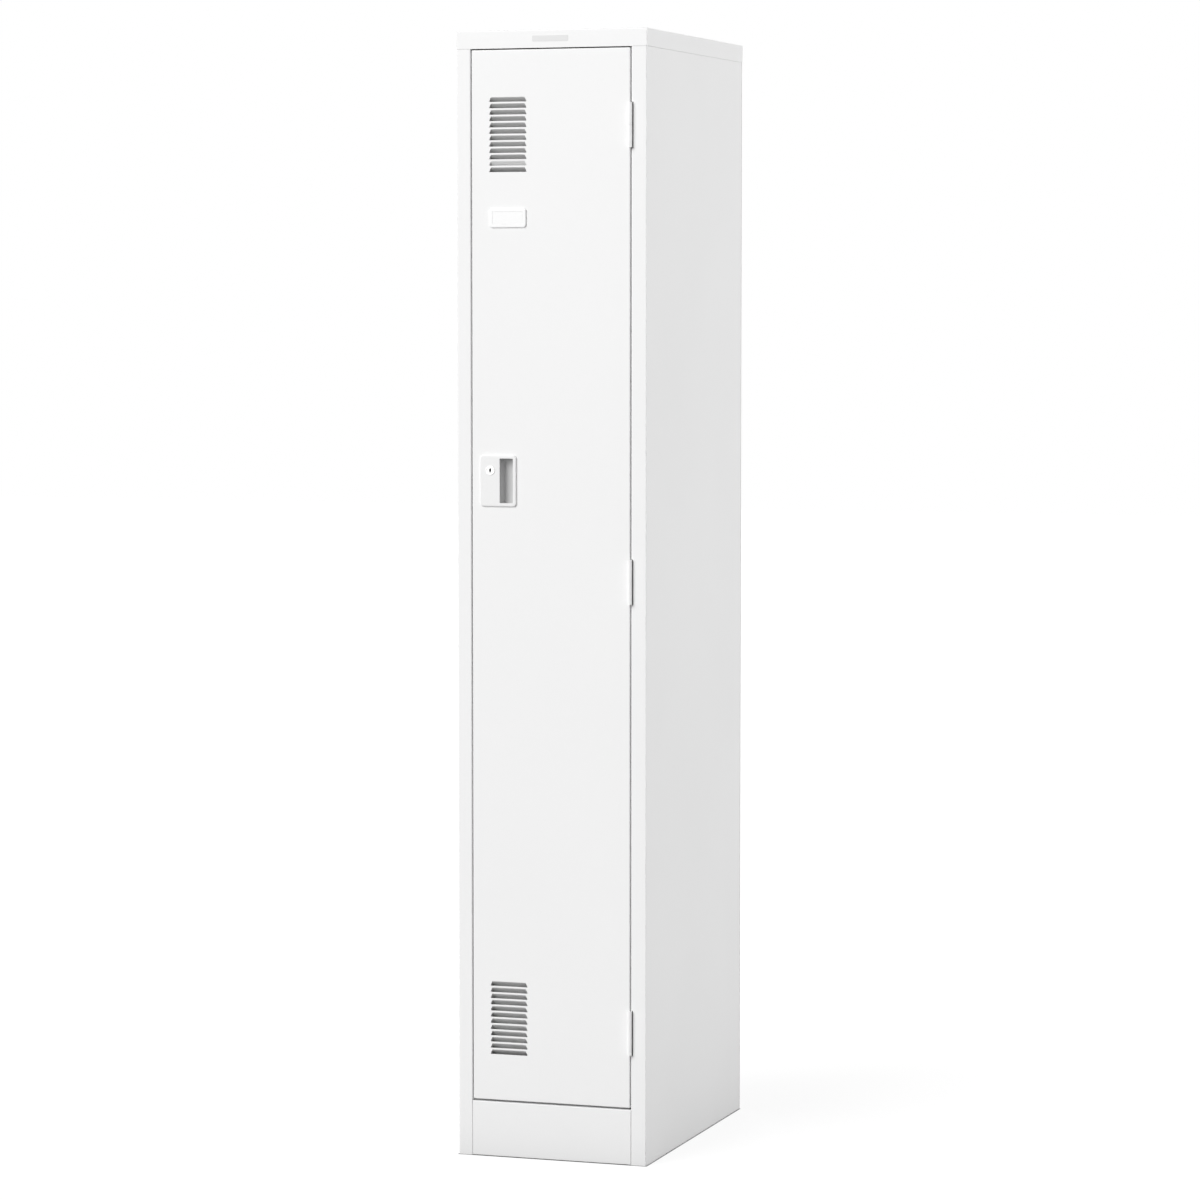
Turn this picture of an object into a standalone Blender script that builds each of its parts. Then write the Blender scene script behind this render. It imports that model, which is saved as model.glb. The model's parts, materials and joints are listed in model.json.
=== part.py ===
"""A one-person locker in folded sheet steel, with a louvred door on three lift-off hinges.

Metres, +Z up. The front faces -Y, and the origin is at the middle of the base.
"""

import math

import bmesh
import bpy
from mathutils import Matrix, Vector
from mathutils.geometry import delaunay_2d_cdt

MM = 0.001

# Fits
SEAT = 0.3 * MM
RUN = 0.5 * MM

# Carcass
WIDTH = 317 * MM
DEPTH = 515 * MM
HEIGHT = 1790 * MM
SHEET = 0.8 * MM
BEND_RADIUS = 1.6 * MM
BEND_STEPS = 2
BEND_RELIEF = 4 * MM
CAP_SKIRT = 28 * MM
LATCH_STILE = 24 * MM
HINGE_STILE = 26 * MM
STOP_WIDTH = 10 * MM
POST_FLANGE = 18 * MM
REAR_RETURN = 15 * MM
FOOT_FLANGE = 15 * MM
FOOT_INSET = 30 * MM
KICK_HEIGHT = 88 * MM
KICK_FLANGE = 15 * MM
KICK_LIP_DROP = 12 * MM
HEADER_FLANGE = 22 * MM

# Inside fittings
FLOOR_STEP = 12 * MM
PAN_FLANGE = 15 * MM
FLOOR_FRONT_FLANGE = 22 * MM
SHELF_DROP = 202 * MM
SHELF_SETBACK = 6 * MM
SHELF_NOSE = 12 * MM
SHELF_HEM = 10 * MM
ROD_DROP = 60 * MM
ROD_RADIUS = 9.5 * MM
ROD_WALL = 1.2 * MM
SOCKET_RADIUS = 18 * MM
SOCKET_PLATE = 2 * MM
SOCKET_WALL = 2.6 * MM
SOCKET_DEPTH = 12 * MM
WIRE_RADIUS = 2.5 * MM
WIRE_BEND = 9 * MM
UMBRELLA_HEIGHT = 620 * MM
UMBRELLA_SETBACK = 110 * MM
UMBRELLA_WIDTH = 64 * MM
UMBRELLA_REACH = 62 * MM
UMBRELLA_FOOT = 30 * MM

# Door
DOOR_SHEET = 0.8 * MM
DOOR_DEPTH = 18 * MM
DOOR_LIP = 22 * MM
DOOR_BORDER = 10 * MM
DOOR_HEAD_GAP = 2 * MM
DOOR_FOOT_GAP = 3 * MM
BUMPER_RADIUS = 4 * MM
BUMPER_THICK = 2.4 * MM
BUMPER_INSET = 60 * MM
MAGNET_LENGTH = 40 * MM
MAGNET_WIDTH = 7.5 * MM
STIFFENER_OFFSET = 35 * MM
STIFFENER_CROWN = 60 * MM
STIFFENER_FLANGE = 15 * MM

# Louvres
LOUVRE_COUNT = 12
LOUVRE_PITCH = 10 * MM
LOUVRE_HEIGHT = 7.2 * MM
LOUVRE_LENGTH = 62 * MM
LOUVRE_TAPER = 3 * MM
LOUVRE_DEPTH = 10 * MM
LOUVRE_VENT = 0.8 * MM
LOUVRE_SIDE_INSET = 29.5 * MM
LOUVRE_END_INSET = 74 * MM

# Hinges
HINGE_LENGTH = 70 * MM
HINGE_INSET = 120 * MM
KNUCKLE_RADIUS = 3.2 * MM
PIN_RADIUS = 1.5 * MM
LEAF_THICK = 1 * MM
LEAF_DEPTH = 16 * MM
LEAF_CORNER = 4 * MM
AXIS_OFFSET = -0.9 * MM
NOTCH_WIDTH = 3.3 * MM
NOTCH_END = 0.8 * MM

# Lock case, pull and lock
LOCK_HEIGHT = 1082 * MM
CASE_INSET = 13.7 * MM
CASE_WIDTH = 61 * MM
CASE_HEIGHT = 82 * MM
CASE_PROUD = 2.7 * MM
CASE_CORNER = 5.5 * MM
CASE_EDGE = 1.2 * MM
CASE_LIP = 3.4 * MM
CUP_WALL = 1.8 * MM
PULL_WIDTH = 22 * MM
PULL_DEPTH = 18 * MM
PULL_CORNER = 1.5 * MM
PULL_DRAFT = 1.5 * MM
KEY_INSET = 17.6 * MM
KEY_RISE = 16.7 * MM
BARREL_RADIUS = 6.5 * MM
BARREL_RIM = 7.4 * MM
BARREL_RIM_THICK = 0.8 * MM
PLUG_RADIUS = 4.8 * MM
PLUG_HEAD = 5.6 * MM
PLUG_HEAD_THICK = 1 * MM
KEYHOLE_HEIGHT = 7 * MM
KEYHOLE_WIDTH = 2.2 * MM
KEYHOLE_DEPTH = 10 * MM
PLATE_THICK = 1.2 * MM
NUT_FLATS = 19 * MM
NUT_THICK = 4 * MM
CAM_THICK = 2 * MM
CAM_WIDTH = 13 * MM
CAM_BITE = 8 * MM
CAM_CLEARANCE = 1.2 * MM
TAIL_SQUARE = 5.4 * MM
SCREW_RADIUS = 1.5 * MM
SCREW_LENGTH = 8 * MM
SCREW_HEAD = 4 * MM
SCREW_HEAD_THICK = 2 * MM

# Card holder
HOLDER_DROP = 248 * MM
HOLDER_WIDTH = 62 * MM
HOLDER_HEIGHT = 31 * MM
HOLDER_CORNER = 4 * MM
HOLDER_FACE = 0.7 * MM
HOLDER_BACK = 0.3 * MM
HOLDER_BORDER = 5.5 * MM
HOLDER_WALL = 2.5 * MM
CARD_THICK = 0.4 * MM

# Mirror and towel bar
MIRROR_WIDTH = 120 * MM
MIRROR_HEIGHT = 180 * MM
MIRROR_THICK = 3 * MM
MIRROR_CORNER = 6 * MM
MIRROR_DROP = 220 * MM
CLIP_WIDTH = 30 * MM
CLIP_LEG = 15 * MM
CLIP_HOOK = 5 * MM
TOWEL_DROP = 480 * MM
TOWEL_STANDOFF = 22 * MM
TOWEL_FOOT_INSET = 18 * MM

# Faceting
ROUND_STEPS = 24
CORNER_STEPS = 4
FOLD_ANGLE = math.radians(85)
SHARP_ANGLE = math.radians(35)
WELD = 1e-6
FILL_WITH_HOLES = 2

# Carcass places
FRONT = -DEPTH / 2
WALL_OUT = WIDTH / 2 - SHEET - SEAT
WALL_SEAT = WALL_OUT - SHEET - SEAT
LIP_LEFT = -WIDTH / 2 + LATCH_STILE
LIP_RIGHT = WIDTH / 2 - HINGE_STILE
STOP_FACE = FRONT + DOOR_DEPTH + BUMPER_THICK + 2 * SEAT
STOP_BACK = STOP_FACE + SHEET
STOP_LEFT = LIP_LEFT + STOP_WIDTH
STOP_RIGHT = LIP_RIGHT - STOP_WIDTH
BACK_FACE = DEPTH / 2 - SHEET - SEAT
RETURN_FACE = BACK_FACE - SHEET - SEAT
INNER_REAR = RETURN_FACE - SHEET - SEAT
INNER_FRONT = STOP_BACK + SEAT
INNER_SIDE = WALL_SEAT - SHEET - SEAT
RAIL_BOTTOM = HEIGHT - CAP_SKIRT
SHOULDER = RAIL_BOTTOM - SEAT
CEILING = HEIGHT - BEND_RADIUS - SEAT
FLOOR_TOP = KICK_HEIGHT + FLOOR_STEP
SHELF_TOP = HEIGHT - SHELF_DROP
ROD_HEIGHT = SHELF_TOP - ROD_DROP

# Door places
SIDE_GAP = SEAT + LEAF_THICK + RUN
DOOR_LEFT = LIP_LEFT + SIDE_GAP
DOOR_RIGHT = LIP_RIGHT - SIDE_GAP
DOOR_TOP = RAIL_BOTTOM - DOOR_HEAD_GAP
DOOR_BOTTOM = KICK_HEIGHT + DOOR_FOOT_GAP
DOOR_INNER = FRONT + DOOR_SHEET
DOOR_BACK = FRONT + DOOR_DEPTH
HINGE_X = LIP_RIGHT + AXIS_OFFSET
HINGE_Y = FRONT - KNUCKLE_RADIUS - SEAT
HINGE_HEIGHTS = {
    "upper": DOOR_TOP - HINGE_INSET,
    "middle": (DOOR_TOP + DOOR_BOTTOM) / 2,
    "lower": DOOR_BOTTOM + HINGE_INSET,
}
LOUVRE_BLOCK = (LOUVRE_COUNT - 1) * LOUVRE_PITCH + LOUVRE_HEIGHT
LOUVRE_LEFT = DOOR_LEFT + LOUVRE_SIDE_INSET
LOUVRE_TOPS = (DOOR_TOP - LOUVRE_END_INSET, DOOR_BOTTOM + LOUVRE_END_INSET + LOUVRE_BLOCK)

# Lock places
CASE_LEFT = DOOR_LEFT + CASE_INSET
CASE_RIGHT = CASE_LEFT + CASE_WIDTH
CASE_BOTTOM = LOCK_HEIGHT - CASE_HEIGHT / 2
CASE_TOP = LOCK_HEIGHT + CASE_HEIGHT / 2
CASE_FRONT = FRONT - CASE_PROUD
PULL_BORDER = CASE_LIP + RUN + CUP_WALL
PULL_RIGHT = CASE_RIGHT - PULL_BORDER
PULL_LEFT = PULL_RIGHT - PULL_WIDTH
PULL_BOTTOM = CASE_BOTTOM + PULL_BORDER
PULL_TOP = CASE_TOP - PULL_BORDER
CUP_BACK = CASE_FRONT + PULL_DEPTH + CUP_WALL
KEY_X = CASE_LEFT + KEY_INSET
KEY_Z = LOCK_HEIGHT + KEY_RISE
CAM_FACE = STOP_BACK + CAM_CLEARANCE
CAM_REACH = KEY_X - STOP_LEFT + CAM_BITE
PLATE_FACE = DOOR_INNER + SEAT
NUT_FACE = PLATE_FACE + PLATE_THICK + SEAT
TAIL_END = CAM_FACE + CAM_THICK + SEAT

# Card holder and mirror places
HOLDER_LEFT = LOUVRE_LEFT
HOLDER_TOP = DOOR_TOP - HOLDER_DROP
HOLDER_BOTTOM = HOLDER_TOP - HOLDER_HEIGHT
HOLDER_REAR = FRONT - SEAT
HOLDER_FRONT = HOLDER_REAR - HOLDER_BACK - CARD_THICK - 2 * SEAT - HOLDER_FACE
STIFFENER_LEFT = STIFFENER_OFFSET - STIFFENER_CROWN / 2
STIFFENER_RIGHT = STIFFENER_OFFSET + STIFFENER_CROWN / 2
MIRROR_TOP = DOOR_TOP - MIRROR_DROP
MIRROR_BOTTOM = MIRROR_TOP - MIRROR_HEIGHT
MIRROR_FACE = DOOR_BACK + SEAT


class Finish:
    """One Principled material, shared by the pieces that have it."""

    def __init__(self, name, colour, roughness, metallic=0.0):
        self.material = bpy.data.materials.new(name)
        self.material.use_nodes = True
        shader = self.material.node_tree.nodes["Principled BSDF"]
        shader.inputs["Base Color"].default_value = (*colour, 1.0)
        shader.inputs["Roughness"].default_value = roughness
        shader.inputs["Metallic"].default_value = metallic


class Body:
    """A rigid group of pieces: an empty on the axis that the group turns about."""

    def __init__(self, name, origin, parent=None):
        self.origin = Vector(origin)
        self.empty = bpy.data.objects.new(name, None)
        bpy.context.scene.collection.objects.link(self.empty)
        self.empty.location = self.origin
        if parent:
            self.empty.parent = parent.empty
            self.empty.location = self.origin - parent.origin

    def add(self, name, shape, finish):
        """Adds a piece drawn in world coordinates, with its origin on this body's axis."""
        shape.transform(Matrix.Translation(-self.origin))
        shape.materials.clear()
        shape.materials.append(finish.material)
        if isinstance(shape, bpy.types.Mesh):
            shape.shade_smooth()
            shape.set_sharp_from_angle(angle=SHARP_ANGLE)
        piece = bpy.data.objects.new(name, shape)
        bpy.context.scene.collection.objects.link(piece)
        piece.parent = self.empty
        return piece


class Sheet:
    """The outer surface of a folded sheet, drawn with sharp folds.

    Faces that share an edge are one sheet. fold() rounds the square folds and gives the sheet its
    thickness, on the side away from the faces' normals.
    """

    def __init__(self):
        self.surface = bmesh.new()
        self.corners = {}

    def corner(self, point):
        """Returns the vertex at a point, the same one each time."""
        key = tuple(round(value / WELD) for value in point)
        if key not in self.corners:
            self.corners[key] = self.surface.verts.new(point)
        return self.corners[key]

    def face(self, points, outward):
        """Adds one flat face with its normal on the outward side."""
        made = self.surface.faces.new([self.corner(point) for point in points])
        self.turn(made, outward)

    def turn(self, made, outward):
        """Flips a face whose normal is on the wrong side."""
        made.normal_update()
        if made.normal.dot(Vector(outward)) < 0:
            made.normal_flip()

    def grid(self, x, y, z, outward, skip=()):
        """Adds a flat panel in cells: one of x, y, z is a single value, the others are rising lists.

        skip holds the (column, row) of cells that are left open.
        """
        spans = [(axis, values) for axis, values in enumerate((x, y, z)) if not isinstance(values, float)]
        level = [values if isinstance(values, float) else 0.0 for values in (x, y, z)]
        (first_axis, first), (second_axis, second) = spans
        for column in range(len(first) - 1):
            for row in range(len(second) - 1):
                if (column, row) in skip:
                    continue
                points = []
                for step, rise in ((0, 0), (1, 0), (1, 1), (0, 1)):
                    point = list(level)
                    point[first_axis] = first[column + step]
                    point[second_axis] = second[row + rise]
                    points.append(point)
                self.face(points, outward)

    def pierced(self, outline, holes, outward):
        """Adds a front-facing panel with holes; outline holds every corner that its neighbours have on it."""
        points = []
        loops = []
        for loop in (outline, *holes):
            loops.append(list(range(len(points), len(points) + len(loop))))
            points += loop
        flat = [Vector((x, z)) for x, _, z in points]
        _, _, triangles, sources, _, _ = delaunay_2d_cdt(flat, [], loops, FILL_WITH_HOLES, WELD)
        for triangle in triangles:
            self.face([points[sources[corner][0]] for corner in triangle], outward)

    def fold(self, name, body, finish, thickness):
        """Turns the surface into a piece of sheet metal."""
        mesh = bpy.data.meshes.new(name)
        self.surface.to_mesh(mesh)
        self.surface.free()
        piece = body.add(name, mesh, finish)
        bend = piece.modifiers.new("bend", "BEVEL")
        bend.width = BEND_RADIUS
        bend.segments = BEND_STEPS
        bend.limit_method = "ANGLE"
        bend.angle_limit = FOLD_ANGLE
        wall = piece.modifiers.new("wall", "SOLIDIFY")
        wall.thickness = thickness
        wall.offset = -1
        wall.use_even_offset = True
        wall.use_quality_normals = True


def arc(centre, radius, start, end, steps):
    """Points on an arc, in degrees, both ends included."""
    angles = [math.radians(start + (end - start) * step / steps) for step in range(steps + 1)]
    return [(centre[0] + radius * math.cos(a), centre[1] + radius * math.sin(a)) for a in angles]


def circle(centre, radius):
    """A round outline."""
    return arc(centre, radius, 0, 360, ROUND_STEPS)[:-1]


def rectangle(left, right, low, high):
    """A rectangular outline with sharp corners."""
    return [(left, low), (right, low), (right, high), (left, high)]


def rounded(left, right, low, high, radius):
    """A rectangular outline with round corners."""
    return [
        *arc((right - radius, low + radius), radius, -90, 0, CORNER_STEPS),
        *arc((right - radius, high - radius), radius, 0, 90, CORNER_STEPS),
        *arc((left + radius, high - radius), radius, 90, 180, CORNER_STEPS),
        *arc((left + radius, low + radius), radius, 180, 270, CORNER_STEPS),
    ]


def on_plane(point, axis, level):
    """Puts a flat point on the plane across an axis: (Y, Z) across X, (X, Z) across Y, (X, Y) across Z."""
    placed = list(point)
    placed.insert("XYZ".index(axis), level)
    return placed


def closed_mesh(shape):
    """Turns a closed bmesh into a mesh with its faces pointing out."""
    bmesh.ops.recalc_face_normals(shape, faces=shape.faces)
    mesh = bpy.data.meshes.new("shape")
    shape.to_mesh(mesh)
    shape.free()
    return mesh


def loft(low_outline, high_outline, axis, low, high, edge=0.0):
    """A solid between two flat outlines with as many points; edge rounds the low end's rim."""
    shape = bmesh.new()
    ends = []
    for outline, level in ((low_outline, low), (high_outline, high)):
        ends.append([shape.verts.new(on_plane(point, axis, level)) for point in outline])
    rims = []
    for loop in ends:
        shape.faces.new(loop)
        pairs = zip(loop, loop[1:] + loop[:1])
        rims.append([shape.edges.get(pair) for pair in pairs])
    bmesh.ops.bridge_loops(shape, edges=rims[0] + rims[1])
    if edge:
        bmesh.ops.bevel(shape, geom=rims[0], offset=edge, segments=CORNER_STEPS - 1, profile=0.5,
                        affect="EDGES")
    return closed_mesh(shape)


def prism(outline, axis, low, high, edge=0.0):
    """A flat outline pulled along an axis."""
    return loft(outline, outline, axis, low, high, edge)


def turned(profile, axis, centre):
    """A closed profile of (radius, height) points spun about an axis through centre."""
    along = "XYZ".index(axis)
    across = (along + 1) % 3
    shape = bmesh.new()
    points = []
    for radius, height in profile:
        point = list(centre)
        point[along] = height
        point[across] += radius
        points.append(shape.verts.new(point))
    edges = [shape.edges.new(pair) for pair in zip(points, points[1:] + points[:1])]
    spin_axis = [0.0, 0.0, 0.0]
    spin_axis[along] = 1.0
    bmesh.ops.spin(shape, geom=points + edges, cent=centre, axis=spin_axis, angle=2 * math.pi,
                   steps=ROUND_STEPS, use_merge=True)
    bmesh.ops.remove_doubles(shape, verts=shape.verts, dist=WELD)
    bmesh.ops.dissolve_degenerate(shape, edges=shape.edges, dist=WELD)
    return closed_mesh(shape)


def combined(first, second, operation):
    """Returns the first shape joined with (UNION) or cut by (DIFFERENCE) the second."""
    target = bpy.data.objects.new("target", first)
    tool = bpy.data.objects.new("tool", second)
    for item in (target, tool):
        bpy.context.scene.collection.objects.link(item)
    step = target.modifiers.new("combine", "BOOLEAN")
    step.operation = operation
    step.object = tool
    step.solver = "EXACT"
    bpy.context.view_layer.update()
    result = bpy.data.meshes.new_from_object(target.evaluated_get(bpy.context.evaluated_depsgraph_get()))
    for item in (target, tool):
        bpy.data.objects.remove(item)
    for used in (first, second):
        bpy.data.meshes.remove(used)
    return result


def wire(route, bend):
    """A round wire along straight runs, with each inner corner bent to a radius."""
    points = [Vector(point) for point in route]
    path = [points[0]]
    for before, corner, after in zip(points, points[1:], points[2:]):
        come = (before - corner).normalized()
        leave = (after - corner).normalized()
        half = come.angle(leave) / 2
        middle = corner + (come + leave).normalized() * bend / math.sin(half)
        start = corner + come * bend / math.tan(half)
        spoke = start - middle
        turn = come.cross(leave)
        sweep = math.pi - 2 * half
        for step in range(CORNER_STEPS + 1):
            path.append(middle + Matrix.Rotation(-sweep * step / CORNER_STEPS, 3, turn) @ spoke)
    path.append(points[-1])
    curve = bpy.data.curves.new("wire", "CURVE")
    curve.dimensions = "3D"
    curve.bevel_depth = WIRE_RADIUS
    curve.bevel_resolution = 2
    curve.use_fill_caps = True
    spline = curve.splines.new("POLY")
    spline.points.add(len(path) - 1)
    for point, place in zip(spline.points, path):
        point.co = (*place, 1.0)
    return curve


def add_side(name, side, lip, stop, body, finish, hinges=()):
    """One side: the flat wall sheet, and the post, flange and foot rail that are welded to its inside.

    hinges holds the heights at which the post's corner is notched for a hinge.
    """
    outward = (side, 0, 0)
    seat = side * WALL_SEAT

    wall = Sheet()
    depths = (FRONT, FRONT + 2 * BEND_RADIUS, RETURN_FACE)
    wall.grid(side * WALL_OUT, depths, (0.0, SHOULDER, CEILING), outward, {(0, 1)})
    wall.fold(f"{name}_side_panel", body, finish, SHEET)

    front_post = Sheet()
    reach = HINGE_LENGTH / 2 + NOTCH_END
    stile = sorted([0.0, SHOULDER, *(z - reach for z in hinges), *(z + reach for z in hinges)])
    notches = {(0, 2 * order + 1) for order in range(len(hinges))}
    face = (lip, lip + NOTCH_WIDTH, seat) if hinges else sorted((seat, lip))
    front_post.grid(seat, (FRONT, FRONT + POST_FLANGE), stile, outward)
    front_post.grid(face, FRONT, stile, (0, -1, 0), notches)
    front_post.grid(lip, (FRONT, FRONT + 2 * BEND_RADIUS, STOP_FACE), stile, (-side, 0, 0), notches)
    front_post.grid(sorted((lip, stop)), STOP_FACE, stile, (0, -1, 0))
    front_post.fold(f"{name}_front_post", body, finish, SHEET)

    rear_flange = Sheet()
    rear_flange.grid(sorted((seat, seat - side * REAR_RETURN)), RETURN_FACE, (0.0, CEILING), (0, 1, 0))
    rear_flange.fold(f"{name}_rear_flange", body, finish, SHEET)

    foot_rail = Sheet()
    foot = (FRONT + FOOT_INSET, RETURN_FACE - FOOT_INSET)
    foot_rail.grid(seat, foot, (0.0, FOOT_FLANGE), outward)
    foot_rail.grid(sorted((seat, seat - side * FOOT_FLANGE)), foot, 0.0, (0, 0, -1))
    foot_rail.fold(f"{name}_foot_rail", body, finish, SHEET)


def add_top_cap(body, finish):
    """The lid, with a skirt on all four sides."""
    cap = Sheet()
    across = (-WIDTH / 2, WIDTH / 2)
    along = (FRONT, DEPTH / 2)
    skirt = (RAIL_BOTTOM, HEIGHT)
    cap.grid(across, along, HEIGHT, (0, 0, 1))
    for side in (-1, 1):
        cap.grid(side * WIDTH / 2, along, skirt, (side, 0, 0))
        cap.grid(across, side * DEPTH / 2, skirt, (0, side, 0))
    cap.fold("top_cap", body, finish, SHEET)


def add_back_panel(body, finish):
    """The flat sheet behind the rear flanges."""
    panel = Sheet()
    panel.grid((-WALL_OUT, WALL_OUT), BACK_FACE, (0.0, CEILING), (0, 1, 0))
    panel.fold("back_panel", body, finish, SHEET)


def add_door_header(body, finish):
    """The folded section behind the cap's front skirt that carries the upper door stop."""
    header = Sheet()
    across = (LIP_LEFT + SEAT, STOP_LEFT + SEAT, STOP_RIGHT - SEAT, LIP_RIGHT - SEAT)
    face = FRONT + SHEET + SEAT
    neck = STOP_FACE - BEND_RELIEF
    header.grid(across, face, (RAIL_BOTTOM, RAIL_BOTTOM + HEADER_FLANGE), (0, -1, 0))
    header.grid(across, (face, neck), RAIL_BOTTOM, (0, 0, -1))
    header.grid(across[1:3], (neck, STOP_FACE), RAIL_BOTTOM, (0, 0, -1))
    header.grid(across[1:3], STOP_FACE, (RAIL_BOTTOM - STOP_WIDTH, RAIL_BOTTOM), (0, -1, 0))
    header.fold("door_header", body, finish, SHEET)


def add_kick_plate(body, finish):
    """The plinth front between the stiles, with a lip that the floor panel seats against."""
    kick = Sheet()
    across = (LIP_LEFT + SEAT, STOP_LEFT + SEAT, STOP_RIGHT - SEAT, LIP_RIGHT - SEAT)
    neck = STOP_FACE - BEND_RELIEF
    kick.grid(across, (FRONT, FRONT + KICK_FLANGE), 0.0, (0, 0, -1))
    kick.grid(across, FRONT, (0.0, KICK_HEIGHT), (0, -1, 0))
    kick.grid(across, (FRONT, neck), KICK_HEIGHT, (0, 0, 1))
    kick.grid(across[1:3], (neck, STOP_BACK), KICK_HEIGHT, (0, 0, 1))
    kick.grid(across[1:3], STOP_BACK, (KICK_HEIGHT - KICK_LIP_DROP, KICK_HEIGHT), (0, 1, 0))
    kick.fold("kick_plate", body, finish, SHEET)


def add_tray(name, front, top, front_flange, hem, body, finish):
    """A folded shelf: a flat top with flanges down all round, and a hem under the front if it has one."""
    tray = Sheet()
    across = (-INNER_SIDE, INNER_SIDE)
    along = (front, INNER_REAR)
    low_front = top - front_flange
    low_side = top - PAN_FLANGE
    levels = sorted({low_front, low_side, top})
    tray.grid(across, along, top, (0, 0, 1))
    tray.grid(across, front, [level for level in levels if level >= low_front], (0, -1, 0))
    tray.grid(across, INNER_REAR, [level for level in levels if level >= low_side], (0, 1, 0))
    for side in (-1, 1):
        tray.grid(side * INNER_SIDE, along, [level for level in levels if level >= low_side], (side, 0, 0))
    if hem:
        tray.grid(across, (front, front + hem), low_front, (0, 0, -1))
    tray.fold(name, body, finish, SHEET)


def add_hanger_rod(body, metal, plastic):
    """The clothes rod and the two sockets that hold its ends."""
    centre = (0.0, 0.0, ROD_HEIGHT)
    seat = WALL_SEAT
    floor = seat - SOCKET_PLATE
    half = floor - SEAT
    inner = ROD_RADIUS - ROD_WALL
    tube = [(inner, -half), (ROD_RADIUS, -half), (ROD_RADIUS, half), (inner, half)]
    body.add("hanger_rod", turned(tube, "X", centre), metal)
    bore = ROD_RADIUS + SEAT
    hub = bore + SOCKET_WALL
    mouth = floor - SOCKET_DEPTH
    for name, side in (("rod_socket_left", -1), ("rod_socket_right", 1)):
        profile = [(0, seat), (SOCKET_RADIUS, seat), (SOCKET_RADIUS, floor), (hub, floor), (hub, mouth),
                   (bore, mouth), (bore, floor), (0, floor)]
        body.add(name, turned([(radius, side * height) for radius, height in profile], "X", centre), plastic)


def add_umbrella_loop(body, finish):
    """A wire loop on the left wall, with its two ends turned up along it."""
    wall = -WALL_SEAT + WIRE_RADIUS
    tip = wall + UMBRELLA_REACH
    top = UMBRELLA_HEIGHT + UMBRELLA_FOOT
    near = FRONT + UMBRELLA_SETBACK - UMBRELLA_WIDTH / 2
    far = near + UMBRELLA_WIDTH
    route = [(wall, near, top), (wall, near, UMBRELLA_HEIGHT), (tip, near, UMBRELLA_HEIGHT),
             (tip, far, UMBRELLA_HEIGHT), (wall, far, UMBRELLA_HEIGHT), (wall, far, top)]
    body.add("umbrella_loop", wire(route, WIRE_BEND), finish)


def add_door_stops(body, rubber, magnet):
    """Two rubber bumpers and the magnet on the latch stile's stop."""
    middle = (LIP_LEFT + STOP_LEFT) / 2
    back = STOP_FACE - SEAT
    front = back - BUMPER_THICK
    for name, height in (("upper", DOOR_TOP - BUMPER_INSET), ("lower", DOOR_BOTTOM + BUMPER_INSET)):
        disc = prism(circle((middle, height), BUMPER_RADIUS), "Y", front, back, BUMPER_THICK / 4)
        body.add(f"door_bumper_{name}", disc, rubber)
    height = HINGE_HEIGHTS["middle"]
    outline = rounded(middle - MAGNET_WIDTH / 2, middle + MAGNET_WIDTH / 2, height - MAGNET_LENGTH / 2,
                      height + MAGNET_LENGTH / 2, MAGNET_WIDTH / 8)
    body.add("magnet_catch", prism(outline, "Y", front, back), magnet)


def add_hinge(place, height, frame, door, finish):
    """A lift-off hinge: frame leaf below, door leaf above, and the pin that stays in the frame leaf."""
    centre = (HINGE_X, HINGE_Y, 0.0)
    bottom = height - HINGE_LENGTH / 2
    top = height + HINGE_LENGTH / 2
    bore = PIN_RADIUS + SEAT
    halves = (
        ("hinge_frame_leaf", frame, bottom, height - SEAT / 2, LIP_RIGHT - SEAT - LEAF_THICK),
        ("hinge_door_leaf", door, height + SEAT / 2, top, DOOR_RIGHT + SEAT),
    )
    root = HINGE_Y + (bore + KNUCKLE_RADIUS) / 2
    tip = FRONT + LEAF_DEPTH
    bend = tip - LEAF_CORNER
    for name, body, low, high, face in halves:
        lower_corner = arc((bend, low + LEAF_CORNER), LEAF_CORNER, -90, 0, CORNER_STEPS)
        upper_corner = arc((bend, high - LEAF_CORNER), LEAF_CORNER, 0, 90, CORNER_STEPS)
        leaf = prism([(root, low), *lower_corner, *upper_corner, (root, high)], "X", face, face + LEAF_THICK)
        roll = [(bore, low), (KNUCKLE_RADIUS, low), (KNUCKLE_RADIUS, high), (bore, high)]
        body.add(f"{name}_{place}", combined(turned(roll, "Z", centre), leaf, "UNION"), finish)
    nose = PIN_RADIUS / 3
    pin = [(0, bottom), (PIN_RADIUS - nose, bottom), (PIN_RADIUS, bottom + nose), (PIN_RADIUS, top - nose),
           (PIN_RADIUS - nose, top), (0, top)]
    frame.add(f"hinge_pin_{place}", turned(pin, "Z", centre), finish)


def louvre_corners(top):
    """The corners of one louvre: its bend line, its cut edge in the door, and its pressed-in edge."""
    low = top - LOUVRE_HEIGHT
    left = LOUVRE_LEFT
    right = LOUVRE_LEFT + LOUVRE_LENGTH
    bend = [(left + LOUVRE_TAPER, FRONT, top), (right - LOUVRE_TAPER, FRONT, top)]
    cut = [(left, FRONT, low), (right, FRONT, low)]
    pressed = [(x, FRONT + LOUVRE_DEPTH, low + LOUVRE_VENT) for x, _, _ in bend]
    return bend, cut, pressed


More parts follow.
